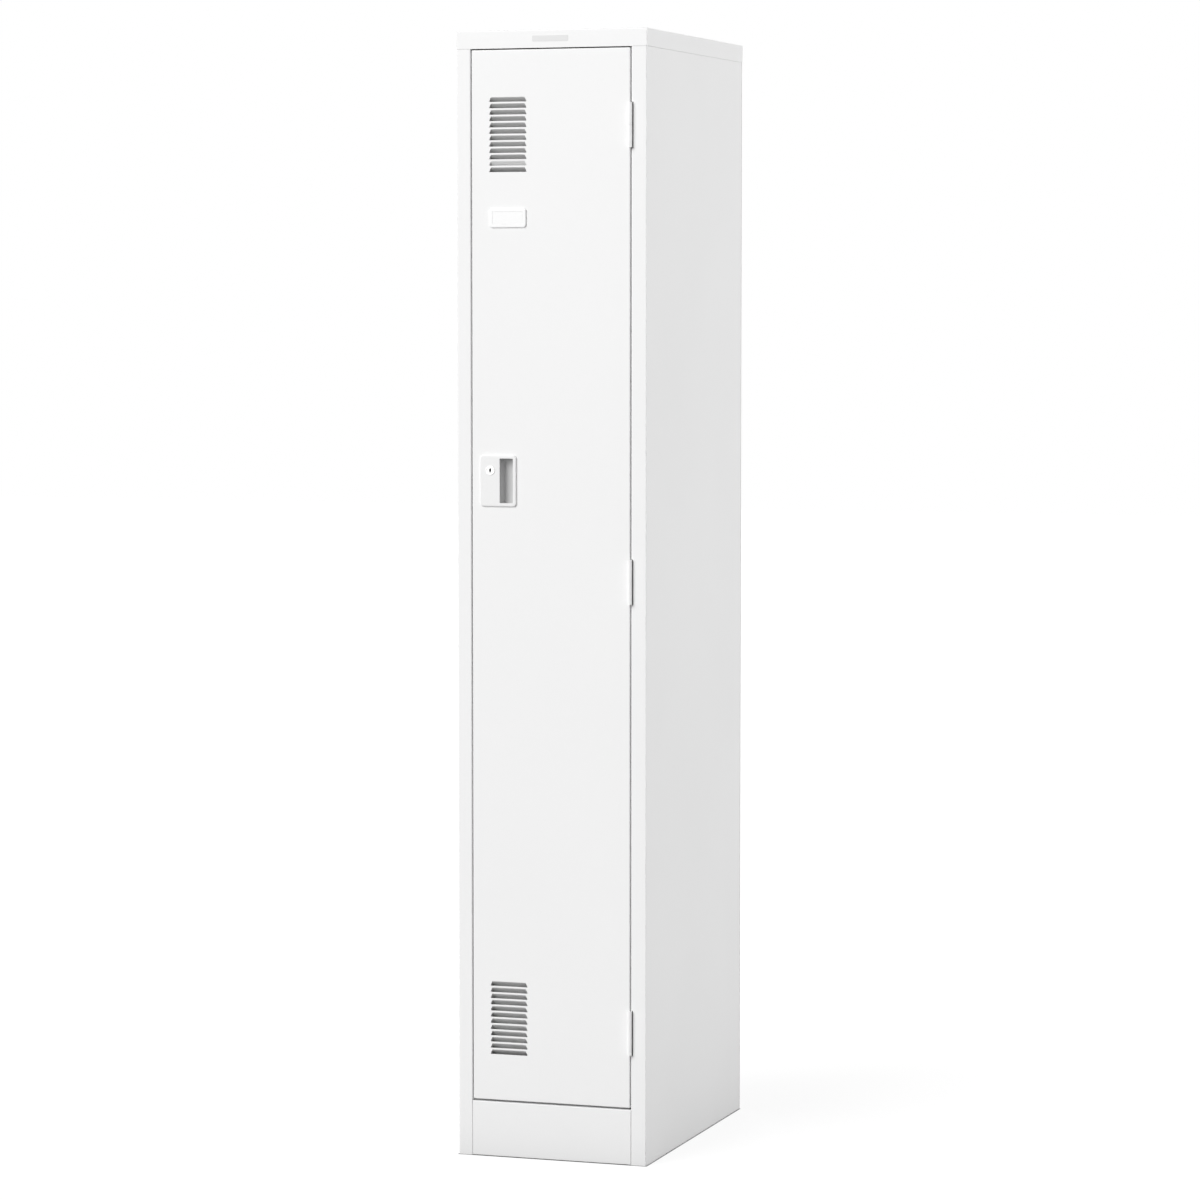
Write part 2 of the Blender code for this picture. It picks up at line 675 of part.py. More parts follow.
def add_door_panel(body, finish):
    """The door: a folded pan with returned lips, two blocks of pressed louvres and the lock's cut-out."""
    door = Sheet()
    xs = (DOOR_LEFT, DOOR_LEFT + DOOR_BORDER, DOOR_LEFT + DOOR_LIP,
          DOOR_RIGHT - DOOR_LIP, DOOR_RIGHT - DOOR_BORDER, DOOR_RIGHT)
    zs = (DOOR_BOTTOM, DOOR_BOTTOM + DOOR_BORDER, DOOR_BOTTOM + DOOR_LIP,
          DOOR_TOP - DOOR_LIP, DOOR_TOP - DOOR_BORDER, DOOR_TOP)
    pan = (FRONT, DOOR_BACK)
    inside = {(column, row) for column in range(1, 4) for row in range(1, 4)}
    door.grid(xs, FRONT, zs, (0, -1, 0), inside)
    door.grid(xs, DOOR_BACK, zs, (0, 1, 0), {(2, 2)})
    door.grid(DOOR_LEFT, pan, zs, (-1, 0, 0))
    door.grid(DOOR_RIGHT, pan, zs, (1, 0, 0))
    door.grid(xs, pan, DOOR_BOTTOM, (0, 0, -1))
    door.grid(xs, pan, DOOR_TOP, (0, 0, 1))
    rim = [(x, zs[1]) for x in xs[1:4]] + [(xs[4], z) for z in zs[1:4]]
    rim += [(x, zs[4]) for x in xs[4:1:-1]] + [(xs[1], z) for z in zs[4:1:-1]]
    cutout = rectangle(CASE_LEFT + CASE_LIP, CASE_RIGHT - CASE_LIP, CASE_BOTTOM + CASE_LIP,
                       CASE_TOP - CASE_LIP)
    drops = [step * LOUVRE_PITCH for step in range(LOUVRE_COUNT)]
    louvres = [louvre_corners(top - drop) for top in LOUVRE_TOPS for drop in drops]
    holes = [[cut[0], cut[1], bend[1], bend[0]] for bend, cut, _ in louvres]
    holes.append([on_plane(point, "Y", FRONT) for point in cutout])
    door.pierced([on_plane(point, "Y", FRONT) for point in rim], holes, (0, -1, 0))
    for bend, cut, pressed in louvres:
        door.face([bend[0], bend[1], pressed[1], pressed[0]], (0, -1, -1))
        for end, inward in ((0, 1), (1, -1)):
            door.face([bend[end], cut[end], pressed[end]], (inward, -1, 0))
    door.fold("door_panel", body, finish, DOOR_SHEET)


def add_door_stiffener(body, finish):
    """A hat channel up the inside of the door, between its upper and lower lips."""
    channel = Sheet()
    heights = (DOOR_BOTTOM + DOOR_LIP + SEAT, DOOR_TOP - DOOR_LIP - SEAT)
    base = DOOR_INNER + SEAT + DOOR_SHEET
    channel.grid((STIFFENER_LEFT - STIFFENER_FLANGE, STIFFENER_LEFT), base, heights, (0, 1, 0))
    channel.grid(STIFFENER_LEFT, (base, DOOR_BACK), heights, (-1, 0, 0))
    channel.grid((STIFFENER_LEFT, STIFFENER_RIGHT), DOOR_BACK, heights, (0, 1, 0))
    channel.grid(STIFFENER_RIGHT, (base, DOOR_BACK), heights, (1, 0, 0))
    channel.grid((STIFFENER_RIGHT, STIFFENER_RIGHT + STIFFENER_FLANGE), base, heights, (0, 1, 0))
    channel.fold("door_stiffener", body, finish, DOOR_SHEET)


def add_lock_case(body, finish):
    """The moulded case: a round-edged bezel with the finger pull's cup behind it."""
    bezel = prism(rounded(CASE_LEFT, CASE_RIGHT, CASE_BOTTOM, CASE_TOP, CASE_CORNER), "Y", CASE_FRONT,
                  FRONT - SEAT, CASE_EDGE)
    root = FRONT - CASE_PROUD / 2

    def pull(grow):
        """The pull's outline grown by a margin."""
        return rounded(PULL_LEFT - grow, PULL_RIGHT + grow, PULL_BOTTOM - grow, PULL_TOP + grow, PULL_CORNER)

    cup = loft(pull(CUP_WALL), pull(CUP_WALL - PULL_DRAFT), "Y", root, CUP_BACK)
    case = combined(bezel, cup, "UNION")
    relief = PULL_DRAFT * CASE_PROUD / PULL_DEPTH
    hollow = loft(pull(relief), pull(-PULL_DRAFT), "Y", CASE_FRONT - CASE_PROUD, CASE_FRONT + PULL_DEPTH)
    case = combined(case, hollow, "DIFFERENCE")
    bore = prism(circle((KEY_X, KEY_Z), BARREL_RADIUS + SEAT), "Y", CASE_FRONT - CASE_PROUD, FRONT)
    body.add("lock_case", combined(case, bore, "DIFFERENCE"), finish)


def add_lock_back_plate(body, finish):
    """The plate that clamps the case to the door from behind, open for the cup and the barrel."""
    plate = prism(rounded(CASE_LEFT, CASE_RIGHT, CASE_BOTTOM, CASE_TOP, CASE_CORNER), "Y", PLATE_FACE,
                  PLATE_FACE + PLATE_THICK)
    margin = CUP_WALL + SEAT
    window = prism(rounded(PULL_LEFT - margin, PULL_RIGHT + margin, PULL_BOTTOM - margin, PULL_TOP + margin,
                           PULL_CORNER), "Y", FRONT, CUP_BACK)
    plate = combined(plate, window, "DIFFERENCE")
    bore = prism(circle((KEY_X, KEY_Z), BARREL_RADIUS + SEAT), "Y", FRONT, CUP_BACK)
    body.add("lock_back_plate", combined(plate, bore, "DIFFERENCE"), finish)


def add_lock(door, lock, metal, steel):
    """The barrel and its nut on the door, and the plug, cam and screw that turn with the key."""
    centre = (KEY_X, 0.0, KEY_Z)
    rim_back = CASE_FRONT - SEAT
    rim_front = rim_back - BARREL_RIM_THICK
    socket = PLUG_HEAD + SEAT
    bore = PLUG_RADIUS + SEAT
    step = rim_front + PLUG_HEAD_THICK + SEAT
    barrel = [(socket, rim_front), (BARREL_RIM, rim_front), (BARREL_RIM, rim_back), (BARREL_RADIUS, rim_back),
              (BARREL_RADIUS, DOOR_BACK), (bore, DOOR_BACK), (bore, step), (socket, step)]
    door.add("lock_barrel", turned(barrel, "Y", centre), metal)
    hexagon = [(KEY_X + x, KEY_Z + z) for x, z in arc((0, 0), NUT_FLATS / math.sqrt(3), 0, 360, 6)[:-1]]
    nut = prism(hexagon, "Y", NUT_FACE, NUT_FACE + NUT_THICK)
    thread = prism(circle((KEY_X, KEY_Z), BARREL_RADIUS + SEAT), "Y", FRONT, NUT_FACE + 2 * NUT_THICK)
    door.add("lock_nut", combined(nut, thread, "DIFFERENCE"), steel)

    shoulder = CAM_FACE - SEAT
    head_back = rim_front + PLUG_HEAD_THICK
    plug = turned([(0, rim_front), (PLUG_HEAD, rim_front), (PLUG_HEAD, head_back), (PLUG_RADIUS, head_back),
                   (PLUG_RADIUS, shoulder), (0, shoulder)], "Y", centre)
    tail = square(TAIL_SQUARE, shoulder - TAIL_SQUARE, TAIL_END)
    plug = combined(plug, tail, "UNION")
    keyhole = prism(rounded(KEY_X - KEYHOLE_WIDTH / 2, KEY_X + KEYHOLE_WIDTH / 2, KEY_Z - KEYHOLE_HEIGHT / 2,
                            KEY_Z + KEYHOLE_HEIGHT / 2, KEYHOLE_WIDTH / 4), "Y",
                    rim_front - KEYHOLE_DEPTH, rim_front + KEYHOLE_DEPTH)
    plug = combined(plug, keyhole, "DIFFERENCE")
    tapping = prism(circle((KEY_X, KEY_Z), SCREW_RADIUS + SEAT), "Y", TAIL_END - SCREW_LENGTH - SEAT,
                    TAIL_END + SCREW_LENGTH)
    lock.add("key_plug", combined(plug, tapping, "DIFFERENCE"), metal)

    arm = prism(cam_outline(), "Y", CAM_FACE, CAM_FACE + CAM_THICK)
    arm = combined(arm, square(TAIL_SQUARE + 2 * SEAT, FRONT, TAIL_END + CAM_THICK), "DIFFERENCE")
    lock.add("lock_cam", arm, steel)
    seat = TAIL_END + SEAT
    end = seat + SCREW_HEAD_THICK
    crown = SCREW_HEAD_THICK / 3
    screw = [(0, TAIL_END - SCREW_LENGTH), (SCREW_RADIUS, TAIL_END - SCREW_LENGTH), (SCREW_RADIUS, seat),
             (SCREW_HEAD, seat), (SCREW_HEAD, end - crown), (SCREW_HEAD - crown, end), (0, end)]
    lock.add("cam_screw", turned(screw, "Y", centre), steel)


def square(size, low, high):
    """A square bar on the lock's axis."""
    half = size / 2
    return prism(rectangle(KEY_X - half, KEY_X + half, KEY_Z - half, KEY_Z + half), "Y", low, high)


def cam_outline():
    """The cam at rest, hanging straight down from the plug, with round ends."""
    half = CAM_WIDTH / 2
    tip = KEY_Z - CAM_REACH + half
    steps = ROUND_STEPS // 2
    return arc((KEY_X, KEY_Z), half, 0, 180, steps) + arc((KEY_X, tip), half, 180, 360, steps)


def add_card_holder(body, plastic, paper):
    """A moulded frame with a card pocket that is open at its right end, and the blank card in it."""
    right = HOLDER_LEFT + HOLDER_WIDTH
    frame = prism(rounded(HOLDER_LEFT, right, HOLDER_BOTTOM, HOLDER_TOP, HOLDER_CORNER), "Y", HOLDER_FRONT,
                  HOLDER_REAR, HOLDER_FACE / 2)
    pocket_front = HOLDER_FRONT + HOLDER_FACE
    pocket_back = HOLDER_REAR - HOLDER_BACK
    pocket = rectangle(HOLDER_LEFT + HOLDER_WALL, right + HOLDER_WALL, HOLDER_BOTTOM + HOLDER_WALL,
                       HOLDER_TOP - HOLDER_WALL)
    frame = combined(frame, prism(pocket, "Y", pocket_front, pocket_back), "DIFFERENCE")
    window = rounded(HOLDER_LEFT + HOLDER_BORDER, right - HOLDER_BORDER, HOLDER_BOTTOM + HOLDER_BORDER,
                     HOLDER_TOP - HOLDER_BORDER, HOLDER_CORNER / 4)
    frame = combined(frame, prism(window, "Y", HOLDER_FRONT - HOLDER_FACE, pocket_front + SEAT), "DIFFERENCE")
    body.add("card_holder", frame, plastic)
    edge = HOLDER_WALL + SEAT
    card = rounded(HOLDER_LEFT + edge, right - edge, HOLDER_BOTTOM + edge, HOLDER_TOP - edge,
                   HOLDER_CORNER / 4)
    body.add("name_card", prism(card, "Y", pocket_front + SEAT, pocket_back - SEAT), paper)


def add_mirror(body, glass, finish):
    """The mirror on the stiffener's crown, held by a hooked clip above and one below."""
    left = STIFFENER_OFFSET - MIRROR_WIDTH / 2
    outline = rounded(left, left + MIRROR_WIDTH, MIRROR_BOTTOM, MIRROR_TOP, MIRROR_CORNER)
    body.add("mirror", prism(outline, "Y", MIRROR_FACE, MIRROR_FACE + MIRROR_THICK), glass)
    across = (STIFFENER_OFFSET - CLIP_WIDTH / 2, STIFFENER_OFFSET + CLIP_WIDTH / 2)
    base = MIRROR_FACE + SHEET
    hook = MIRROR_FACE + MIRROR_THICK + SEAT + SHEET
    for name, edge, up in (("mirror_clip_upper", MIRROR_TOP, 1), ("mirror_clip_lower", MIRROR_BOTTOM, -1)):
        clip = Sheet()
        shelf = edge + up * (SEAT + SHEET)
        clip.grid(across, base, sorted((shelf, edge + up * CLIP_LEG)), (0, 1, 0))
        clip.grid(across, (base, hook), shelf, (0, 0, up))
        clip.grid(across, hook, sorted((edge - up * CLIP_HOOK, shelf)), (0, 1, 0))
        clip.fold(name, body, finish, SHEET)


def add_towel_bar(body, finish):
    """A wire rail between the door's two upright lips."""
    foot = DOOR_BACK + SEAT
    rail = DOOR_BACK + TOWEL_STANDOFF
    height = DOOR_TOP - TOWEL_DROP
    left = DOOR_LEFT + TOWEL_FOOT_INSET
    right = DOOR_RIGHT - TOWEL_FOOT_INSET
    route = [(left, foot, height), (left, rail, height), (right, rail, height), (right, foot, height)]
    body.add("towel_bar", wire(route, WIRE_BEND), finish)


def build():
    """Builds the carcass, the door and the turning half of the lock."""
    for item in list(bpy.data.objects):
        bpy.data.objects.remove(item)
    paint = Finish("white powder coat", (0.86, 0.86, 0.85), 0.42)
    plastic = Finish("white abs", (0.82, 0.82, 0.81), 0.38)
    paper = Finish("white card", (0.88, 0.88, 0.87), 0.8)
    chrome = Finish("chromed steel", (0.78, 0.78, 0.80), 0.12, 1.0)
    zinc = Finish("satin nickel", (0.72, 0.72, 0.72), 0.3, 1.0)
    steel = Finish("zinc plated steel", (0.62, 0.62, 0.62), 0.4, 1.0)
    rubber = Finish("grey rubber", (0.25, 0.25, 0.25), 0.8)
    ferrite = Finish("ferrite magnet", (0.05, 0.05, 0.05), 0.6)
    glass = Finish("mirror glass", (0.9, 0.92, 0.92), 0.03, 1.0)

    carcass = Body("carcass", (0.0, 0.0, 0.0))
    door = Body("door", (HINGE_X, HINGE_Y, 0.0))
    lock = Body("lock", (KEY_X, CAM_FACE, KEY_Z), door)

    add_side("left", -1, LIP_LEFT, STOP_LEFT, carcass, paint)
    add_side("right", 1, LIP_RIGHT, STOP_RIGHT, carcass, paint, HINGE_HEIGHTS.values())
    add_top_cap(carcass, paint)
    add_back_panel(carcass, paint)
    add_door_header(carcass, paint)
    add_kick_plate(carcass, paint)
    add_tray("floor_panel", INNER_FRONT, FLOOR_TOP, FLOOR_FRONT_FLANGE, 0.0, carcass, paint)
    add_tray("hat_shelf", INNER_FRONT + SHELF_SETBACK, SHELF_TOP, SHELF_NOSE, SHELF_HEM, carcass, paint)
    add_hanger_rod(carcass, chrome, plastic)
    add_umbrella_loop(carcass, chrome)
    add_door_stops(carcass, rubber, ferrite)
    for place, height in HINGE_HEIGHTS.items():
        add_hinge(place, height, carcass, door, paint)
    add_door_panel(door, paint)
    add_door_stiffener(door, paint)
    add_lock_case(door, plastic)
    add_lock_back_plate(door, steel)
    add_lock(door, lock, zinc, steel)
    add_card_holder(door, plastic, paper)
    add_mirror(door, glass, zinc)
    add_towel_bar(door, chrome)


build()
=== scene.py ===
"""Looks of a one-person steel locker: white powder-coated sheet, a moulded lock case and chromed rails.

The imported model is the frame. Sizes are metres in its coordinates: +Z up, and the door faces -Y.
"""

import json
import logging
import math
from dataclasses import dataclass, field
from enum import Enum
from typing import Iterable, Mapping, Sequence

import bmesh
import bpy
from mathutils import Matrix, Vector
from mathutils.geometry import delaunay_2d_cdt

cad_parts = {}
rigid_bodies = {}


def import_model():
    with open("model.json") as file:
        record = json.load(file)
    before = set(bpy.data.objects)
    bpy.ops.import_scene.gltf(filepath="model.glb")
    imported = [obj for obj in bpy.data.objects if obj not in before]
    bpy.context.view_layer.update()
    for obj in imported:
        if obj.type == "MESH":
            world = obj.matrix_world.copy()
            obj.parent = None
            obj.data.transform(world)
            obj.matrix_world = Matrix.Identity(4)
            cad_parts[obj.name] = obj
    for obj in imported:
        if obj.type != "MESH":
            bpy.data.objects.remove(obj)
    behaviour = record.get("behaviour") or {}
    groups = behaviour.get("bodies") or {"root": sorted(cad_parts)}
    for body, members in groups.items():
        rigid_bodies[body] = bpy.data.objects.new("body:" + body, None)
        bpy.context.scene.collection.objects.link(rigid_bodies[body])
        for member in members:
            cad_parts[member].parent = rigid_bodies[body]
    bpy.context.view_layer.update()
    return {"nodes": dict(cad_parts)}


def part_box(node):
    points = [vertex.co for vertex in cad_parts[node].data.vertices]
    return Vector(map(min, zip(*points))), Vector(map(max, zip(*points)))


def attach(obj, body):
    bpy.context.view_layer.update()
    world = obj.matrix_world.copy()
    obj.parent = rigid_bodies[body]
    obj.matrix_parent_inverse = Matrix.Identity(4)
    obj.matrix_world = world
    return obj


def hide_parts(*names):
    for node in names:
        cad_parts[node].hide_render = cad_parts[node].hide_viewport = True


for startup_object in list(bpy.data.objects):
    bpy.data.objects.remove(startup_object)

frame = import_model()

LOG = logging.getLogger("locker")
MM = 0.001
# Corners closer than this are one.
WELD = 5e-6
# Clearance between neighbouring pieces.
GAP = 0.3 * MM
PLACES = ("lower", "middle", "upper")

Span = Sequence[float]
Flat = tuple[float, float]
Place = tuple[float, float, float]


class Body(Enum):
    """The rigid bodies that pieces ride on."""

    CARCASS = "carcass"
    DOOR = "door"
    LOCK = "lock"


class Axis(Enum):
    """A frame axis that shapes are drawn along, by its index."""

    X = 0
    Y = 1


class Crease(Enum):
    """The angle in degrees above which an edge stays sharp, by how a piece is made."""

    MOULDED = 50.0
    PRESSED = 40.0
    TURNED = 35.0
    FOLDED = 30.0
    GROUND = 5.0


class Slot(Enum):
    """The record's material slots."""

    PAINT = "white_powder_coat"
    PLASTIC = "white_abs"
    CARD = "white_card"
    CHROME = "chromed_steel"
    NICKEL = "satin_nickel"
    ZINC = "zinc_plated_steel"
    RUBBER = "grey_rubber"
    FERRITE = "ferrite"
    MIRROR = "mirror_glass"


def linear(hex_colour: str) -> tuple[float, float, float, float]:
    """Turns an sRGB hex colour into linear RGBA.

    Args:
        hex_colour: the colour as #RRGGBB.

    Returns:
        The linear colour with an alpha of 1.
    """
    channels = []
    for start in (1, 3, 5):
        value = int(hex_colour[start:start + 2], 16) / 255
        channels.append(value / 12.92 if value <= 0.04045 else ((value + 0.055) / 1.055) ** 2.4)
    return (*channels, 1.0)


def add_node(tree: bpy.types.NodeTree, kind: str, inputs: Mapping[str | int, object] | None = None,
             **settings: object) -> bpy.types.Node:
    """Adds a node to a shader or geometry tree.

    Args:
        tree: the tree that gets the node.
        kind: the node's type name.
        inputs: input name or index to a constant, or to the output socket that feeds it.
        settings: properties of the node.

    Returns:
        The node.
    """
    node = tree.nodes.new(kind)
    for name, value in settings.items():
        setattr(node, name, value)
    for key, value in (inputs or {}).items():
        if isinstance(value, bpy.types.NodeSocket):
            tree.links.new(value, node.inputs[key])
        else:
            node.inputs[key].default_value = value
    return node


def noise(tree: bpy.types.NodeTree, place: bpy.types.NodeSocket, size: float,
          detail: float) -> bpy.types.NodeSocket:
    """Adds a noise pattern with grains of a given size."""
    pattern = add_node(tree, "ShaderNodeTexNoise", {"Vector": place, "Scale": 1 / size, "Detail": detail})
    return pattern.outputs["Fac"]


def blend(tree: bpy.types.NodeTree, share: bpy.types.NodeSocket, first: str,
          second: str) -> bpy.types.NodeSocket:
    """Adds a mix of two hex colours, with a share of the second."""
    # A Mix node's colours are its inputs 6 and 7 and its output 2; the others are for numbers and vectors.
    mix = add_node(tree, "ShaderNodeMix", {0: share, 6: linear(first), 7: linear(second)}, data_type="RGBA")
    return mix.outputs[2]


@dataclass(frozen=True)
class Finish:
    """A surface finish: one Principled material, made on its first use."""

    name: str
    slot: Slot
    colour: str
    roughness: float
    metallic: float = 0.0
    ior: float = 1.5
    spread: float = 0.04
    clearest: float = 0.02

    def material(self) -> bpy.types.Material:
        """Makes the finish's material, with its detail wired in.

        Returns:
            The material, the same one on every call.
        """
        known = bpy.data.materials.get(self.name)
        if known:
            return known
        material = bpy.data.materials.new(self.name)
        material.use_nodes = True
        tree = material.node_tree
        shader = tree.nodes["Principled BSDF"]
        shader.inputs["Base Color"].default_value = linear(self.colour)
        shader.inputs["Roughness"].default_value = self.roughness
        shader.inputs["Metallic"].default_value = self.metallic
        shader.inputs["IOR"].default_value = self.ior
        self.detail(tree, shader, add_node(tree, "ShaderNodeTexCoord").outputs["Object"])
        return material

    def detail(self, tree: bpy.types.NodeTree, shader: bpy.types.Node, place: bpy.types.NodeSocket) -> None:
        """Wires the finish's own pattern to the shader.

        Args:
            tree: the material's tree.
            shader: its Principled BSDF.
            place: the Object coordinates.
        """
        raise NotImplementedError

    def vary_gloss(self, tree: bpy.types.NodeTree, shader: bpy.types.Node,
                   pattern: bpy.types.NodeSocket) -> None:
        """Lets the roughness follow a pattern, up and down by the finish's spread.

        Args:
            tree: the material's tree.
            shader: its Principled BSDF.
            pattern: the pattern, from 0 to 1.
        """
        least = max(self.clearest, self.roughness - self.spread)
        most = self.roughness + self.spread
        gloss = add_node(tree, "ShaderNodeMapRange", {"Value": pattern, "To Min": least, "To Max": most})
        tree.links.new(gloss.outputs["Result"], shader.inputs["Roughness"])

    def emboss(self, tree: bpy.types.NodeTree, shader: bpy.types.Node, pattern: bpy.types.NodeSocket,
               height: float) -> None:
        """Raises a pattern by a height in metres."""
        bump = add_node(tree, "ShaderNodeBump", {"Height": pattern, "Strength": 1.0, "Distance": height})
        tree.links.new(bump.outputs["Normal"], shader.inputs["Normal"])


@dataclass(frozen=True)
class PowderCoat(Finish):
    """Polyester powder baked on sheet steel: satin, with a soft orange peel and slightly uneven film."""

    spread: float = 0.05
    shade: str = "#F0F0F0"
    peel: float = 6 * MM
    peel_height: float = 0.012 * MM
    cloud: float = 220 * MM

    def detail(self, tree: bpy.types.NodeTree, shader: bpy.types.Node, place: bpy.types.NodeSocket) -> None:
        """Adds the orange peel, drawn at 6 mm as the real 1.5 mm is finer than a pixel, and the clouding.

        Args:
            tree: the material's tree.
            shader: its Principled BSDF.
            place: the Object coordinates.
        """
        cloud = noise(tree, place, self.cloud, 2.0)
        tree.links.new(blend(tree, cloud, self.colour, self.shade), shader.inputs["Base Color"])
        self.vary_gloss(tree, shader, cloud)
        self.emboss(tree, shader, noise(tree, place, self.peel, 1.0), self.peel_height)


@dataclass(frozen=True)
class Moulded(Finish):
    """Injection-moulded ABS or rubber: even colour with the fine spark grain of the tool."""

    grain: float = 1.6 * MM
    grain_height: float = 0.01 * MM

    def detail(self, tree: bpy.types.NodeTree, shader: bpy.types.Node, place: bpy.types.NodeSocket) -> None:
        """Adds the grain, drawn coarser than the real 0.2 mm so that it shows in a close view.

        Args:
            tree: the material's tree.
            shader: its Principled BSDF.
            place: the Object coordinates.
        """
        grain = noise(tree, place, self.grain, 3.0)
        self.vary_gloss(tree, shader, grain)
        self.emboss(tree, shader, grain, self.grain_height)


@dataclass(frozen=True)
class Plated(Finish):
    """Plated steel: a mirror-like skin with faint polishing haze in large soft patches."""

    metallic: float = 1.0
    spread: float = 0.05
    haze: float = 9 * MM

    def detail(self, tree: bpy.types.NodeTree, shader: bpy.types.Node, place: bpy.types.NodeSocket) -> None:
        """Adds the haze as a change of gloss.

        Args:
            tree: the material's tree.
            shader: its Principled BSDF.
            place: the Object coordinates.
        """
        self.vary_gloss(tree, shader, noise(tree, place, self.haze, 3.0))


@dataclass(frozen=True)
class Zinc(Finish):
    """Bright zinc plate: blue-grey crystals a few millimetres wide, each with its own tint and gloss."""

    metallic: float = 1.0
    spread: float = 0.08
    shade: str = "#A9ADB2"
    crystal: float = 3 * MM

    def detail(self, tree: bpy.types.NodeTree, shader: bpy.types.Node, place: bpy.types.NodeSocket) -> None:
        """Adds the crystals.

        Args:
            tree: the material's tree.
            shader: its Principled BSDF.
            place: the Object coordinates.
        """
        crystal = add_node(tree, "ShaderNodeTexVoronoi", {"Vector": place, "Scale": 1 / self.crystal})
        tone = add_node(tree, "ShaderNodeRGBToBW", {"Color": crystal.outputs["Color"]}).outputs["Val"]
        tree.links.new(blend(tree, tone, self.colour, self.shade), shader.inputs["Base Color"])
        self.vary_gloss(tree, shader, tone)


@dataclass(frozen=True)
class Turned(Finish):
    """Satin nickel on a turned face: fine concentric tool marks round one axis along Y."""

    metallic: float = 1.0
    centre: Place = (0.0, 0.0, 0.0)
    pitch: float = 0.5 * MM
    mark_height: float = 0.008 * MM

    def detail(self, tree: bpy.types.NodeTree, shader: bpy.types.Node, place: bpy.types.NodeSocket) -> None:
        """Adds the tool marks, drawn at 0.5 mm where real ones are 0.1 mm.

        Args:
            tree: the material's tree.
            shader: its Principled BSDF.
            place: the Object coordinates.
        """
        back = [-value for value in self.centre]
        middle = add_node(tree, "ShaderNodeMapping", {"Vector": place, "Location": back}).outputs["Vector"]
        # A wave repeats every 2 pi / 20 units at scale 1.
        scale = math.pi / 10 / self.pitch
        rings = add_node(tree, "ShaderNodeTexWave", {"Vector": middle, "Scale": scale, "Distortion": 0.4},
                         wave_type="RINGS", rings_direction="Y")
        self.emboss(tree, shader, rings.outputs["Fac"], self.mark_height)


@dataclass(frozen=True)
class Fibrous(Finish):
    """Uncoated card: matt, with short fibres in the surface."""

    fibre: float = 1.2 * MM
    fibre_height: float = 0.02 * MM
    slenderness: float = 4.0

    def detail(self, tree: bpy.types.NodeTree, shader: bpy.types.Node, place: bpy.types.NodeSocket) -> None:
        """Adds the fibres, stretched along X as they lie in the sheet.

        Args:
            tree: the material's tree.
            shader: its Principled BSDF.
            place: the Object coordinates.
        """
        stretch = (1 / self.slenderness, 1.0, 1.0)
        laid = add_node(tree, "ShaderNodeMapping", {"Vector": place, "Scale": stretch}).outputs["Vector"]
        self.emboss(tree, shader, noise(tree, laid, self.fibre, 4.0), self.fibre_height)


# Polyester powder baked on sheet steel: an even satin white, whose soft ripple shows only in its highlights.
PAINT = PowderCoat("baked white polyester powder coat", Slot.PAINT, "#F3F3F3", 0.40)
# Injection-moulded ABS: a shade greyer than the coat, with a close, soft highlight round its edges.
CASE_PLASTIC = Moulded("moulded white abs", Slot.PLASTIC, "#EEEEEE", 0.34, ior=1.54)
# Injection-moulded polystyrene: the whitest and glossiest plastic here.
HOLDER_PLASTIC = Moulded("moulded white polystyrene", Slot.PLASTIC, "#FAFAFA", 0.3, ior=1.59)
# ABS moulded against a grained tool, in a light grey that is partly its own colour and partly painted shade
# for the finger pull's hollow: a soft grey without a clear highlight.
CUP_PLASTIC_WITH_PAINTED_SHADE = Moulded("grained light grey abs with painted shade", Slot.PLASTIC, "#CECECE", 0.4, ior=1.54)
# Cast vinyl film: a thin matt patch, a little darker than the coat under it.
LABEL_FILM = Moulded("cast pale grey vinyl film", Slot.PLASTIC, "#E1E1E1", 0.5, ior=1.54)
# Injection-moulded ABS in off-white: slightly warm against the coat, with a soft highlight.
SOCKET_PLASTIC = Moulded("moulded off-white abs", Slot.PLASTIC, "#DCDCDA", 0.36, ior=1.54)
# Uncoated card: a bright, dead matt white with a faint tooth of fibres.
CARD = Fibrous("uncoated white card", Slot.CARD, "#FCFCFC", 0.7)
# Chromium plated on polished steel: clear, cold reflections with a breath of haze.
CHROME = Plated("polished chromium plate", Slot.CHROME, "#E4E6E8", 0.08)
# Nickel plated on brushed steel: a warm grey metal with blurred reflections.
NICKEL = Plated("satin nickel plate", Slot.NICKEL, "#E6E4DF", 0.28)
# Broached steel with a film of oil, drawn near black as painted shade for the deep slot, with hardly any
# gleam.
KEYWAY_PAINTED_SHADE = Plated("broached oiled steel in painted shade", Slot.NICKEL, "#262523", 0.5)
# Zinc plated bright on pressed steel: a blue-grey metal broken up by its crystals.
ZINC = Zinc("bright zinc plate", Slot.ZINC, "#C4C7CA", 0.34)
# Moulded nitrile rubber: dark grey and dull, with a broad dim sheen.
RUBBER = Moulded("moulded grey nitrile rubber", Slot.RUBBER, "#5A5B5C", 0.78, ior=1.52)
# Pressed and sintered ferrite: nearly black, with the grit of a fired ceramic.
FERRITE = Moulded("sintered ferrite", Slot.FERRITE, "#2A2928", 0.62, grain=0.8 * MM, grain_height=0.03 * MM)
# Float glass silvered on its back: a clear mirror with a trace of green.
SILVERED = Plated("silvered float glass", Slot.MIRROR, "#EEF2F1", 0.03, spread=0.01)
# Float glass ground at its edge: frosted, in the green of the glass itself.
GLASS_EDGE = Moulded("ground float glass", Slot.MIRROR, "#9DBDB0", 0.25, ior=1.52)


def placed(name: str, data: bpy.types.ID) -> bpy.types.Object:
    """Puts a new object with the given data in the scene.

    Args:
        name: the object's name.
        data: its mesh, curve, light or camera.

    Returns:
        The object.
    """
    item = bpy.data.objects.new(name, data)
    bpy.context.scene.collection.objects.link(item)
    return item


def evaluated(holder: bpy.types.Object) -> bpy.types.Mesh:
    """The plain mesh that an object's curve or modifiers make."""
    bpy.context.view_layer.update()
    return bpy.data.meshes.new_from_object(holder.evaluated_get(bpy.context.evaluated_depsgraph_get()))


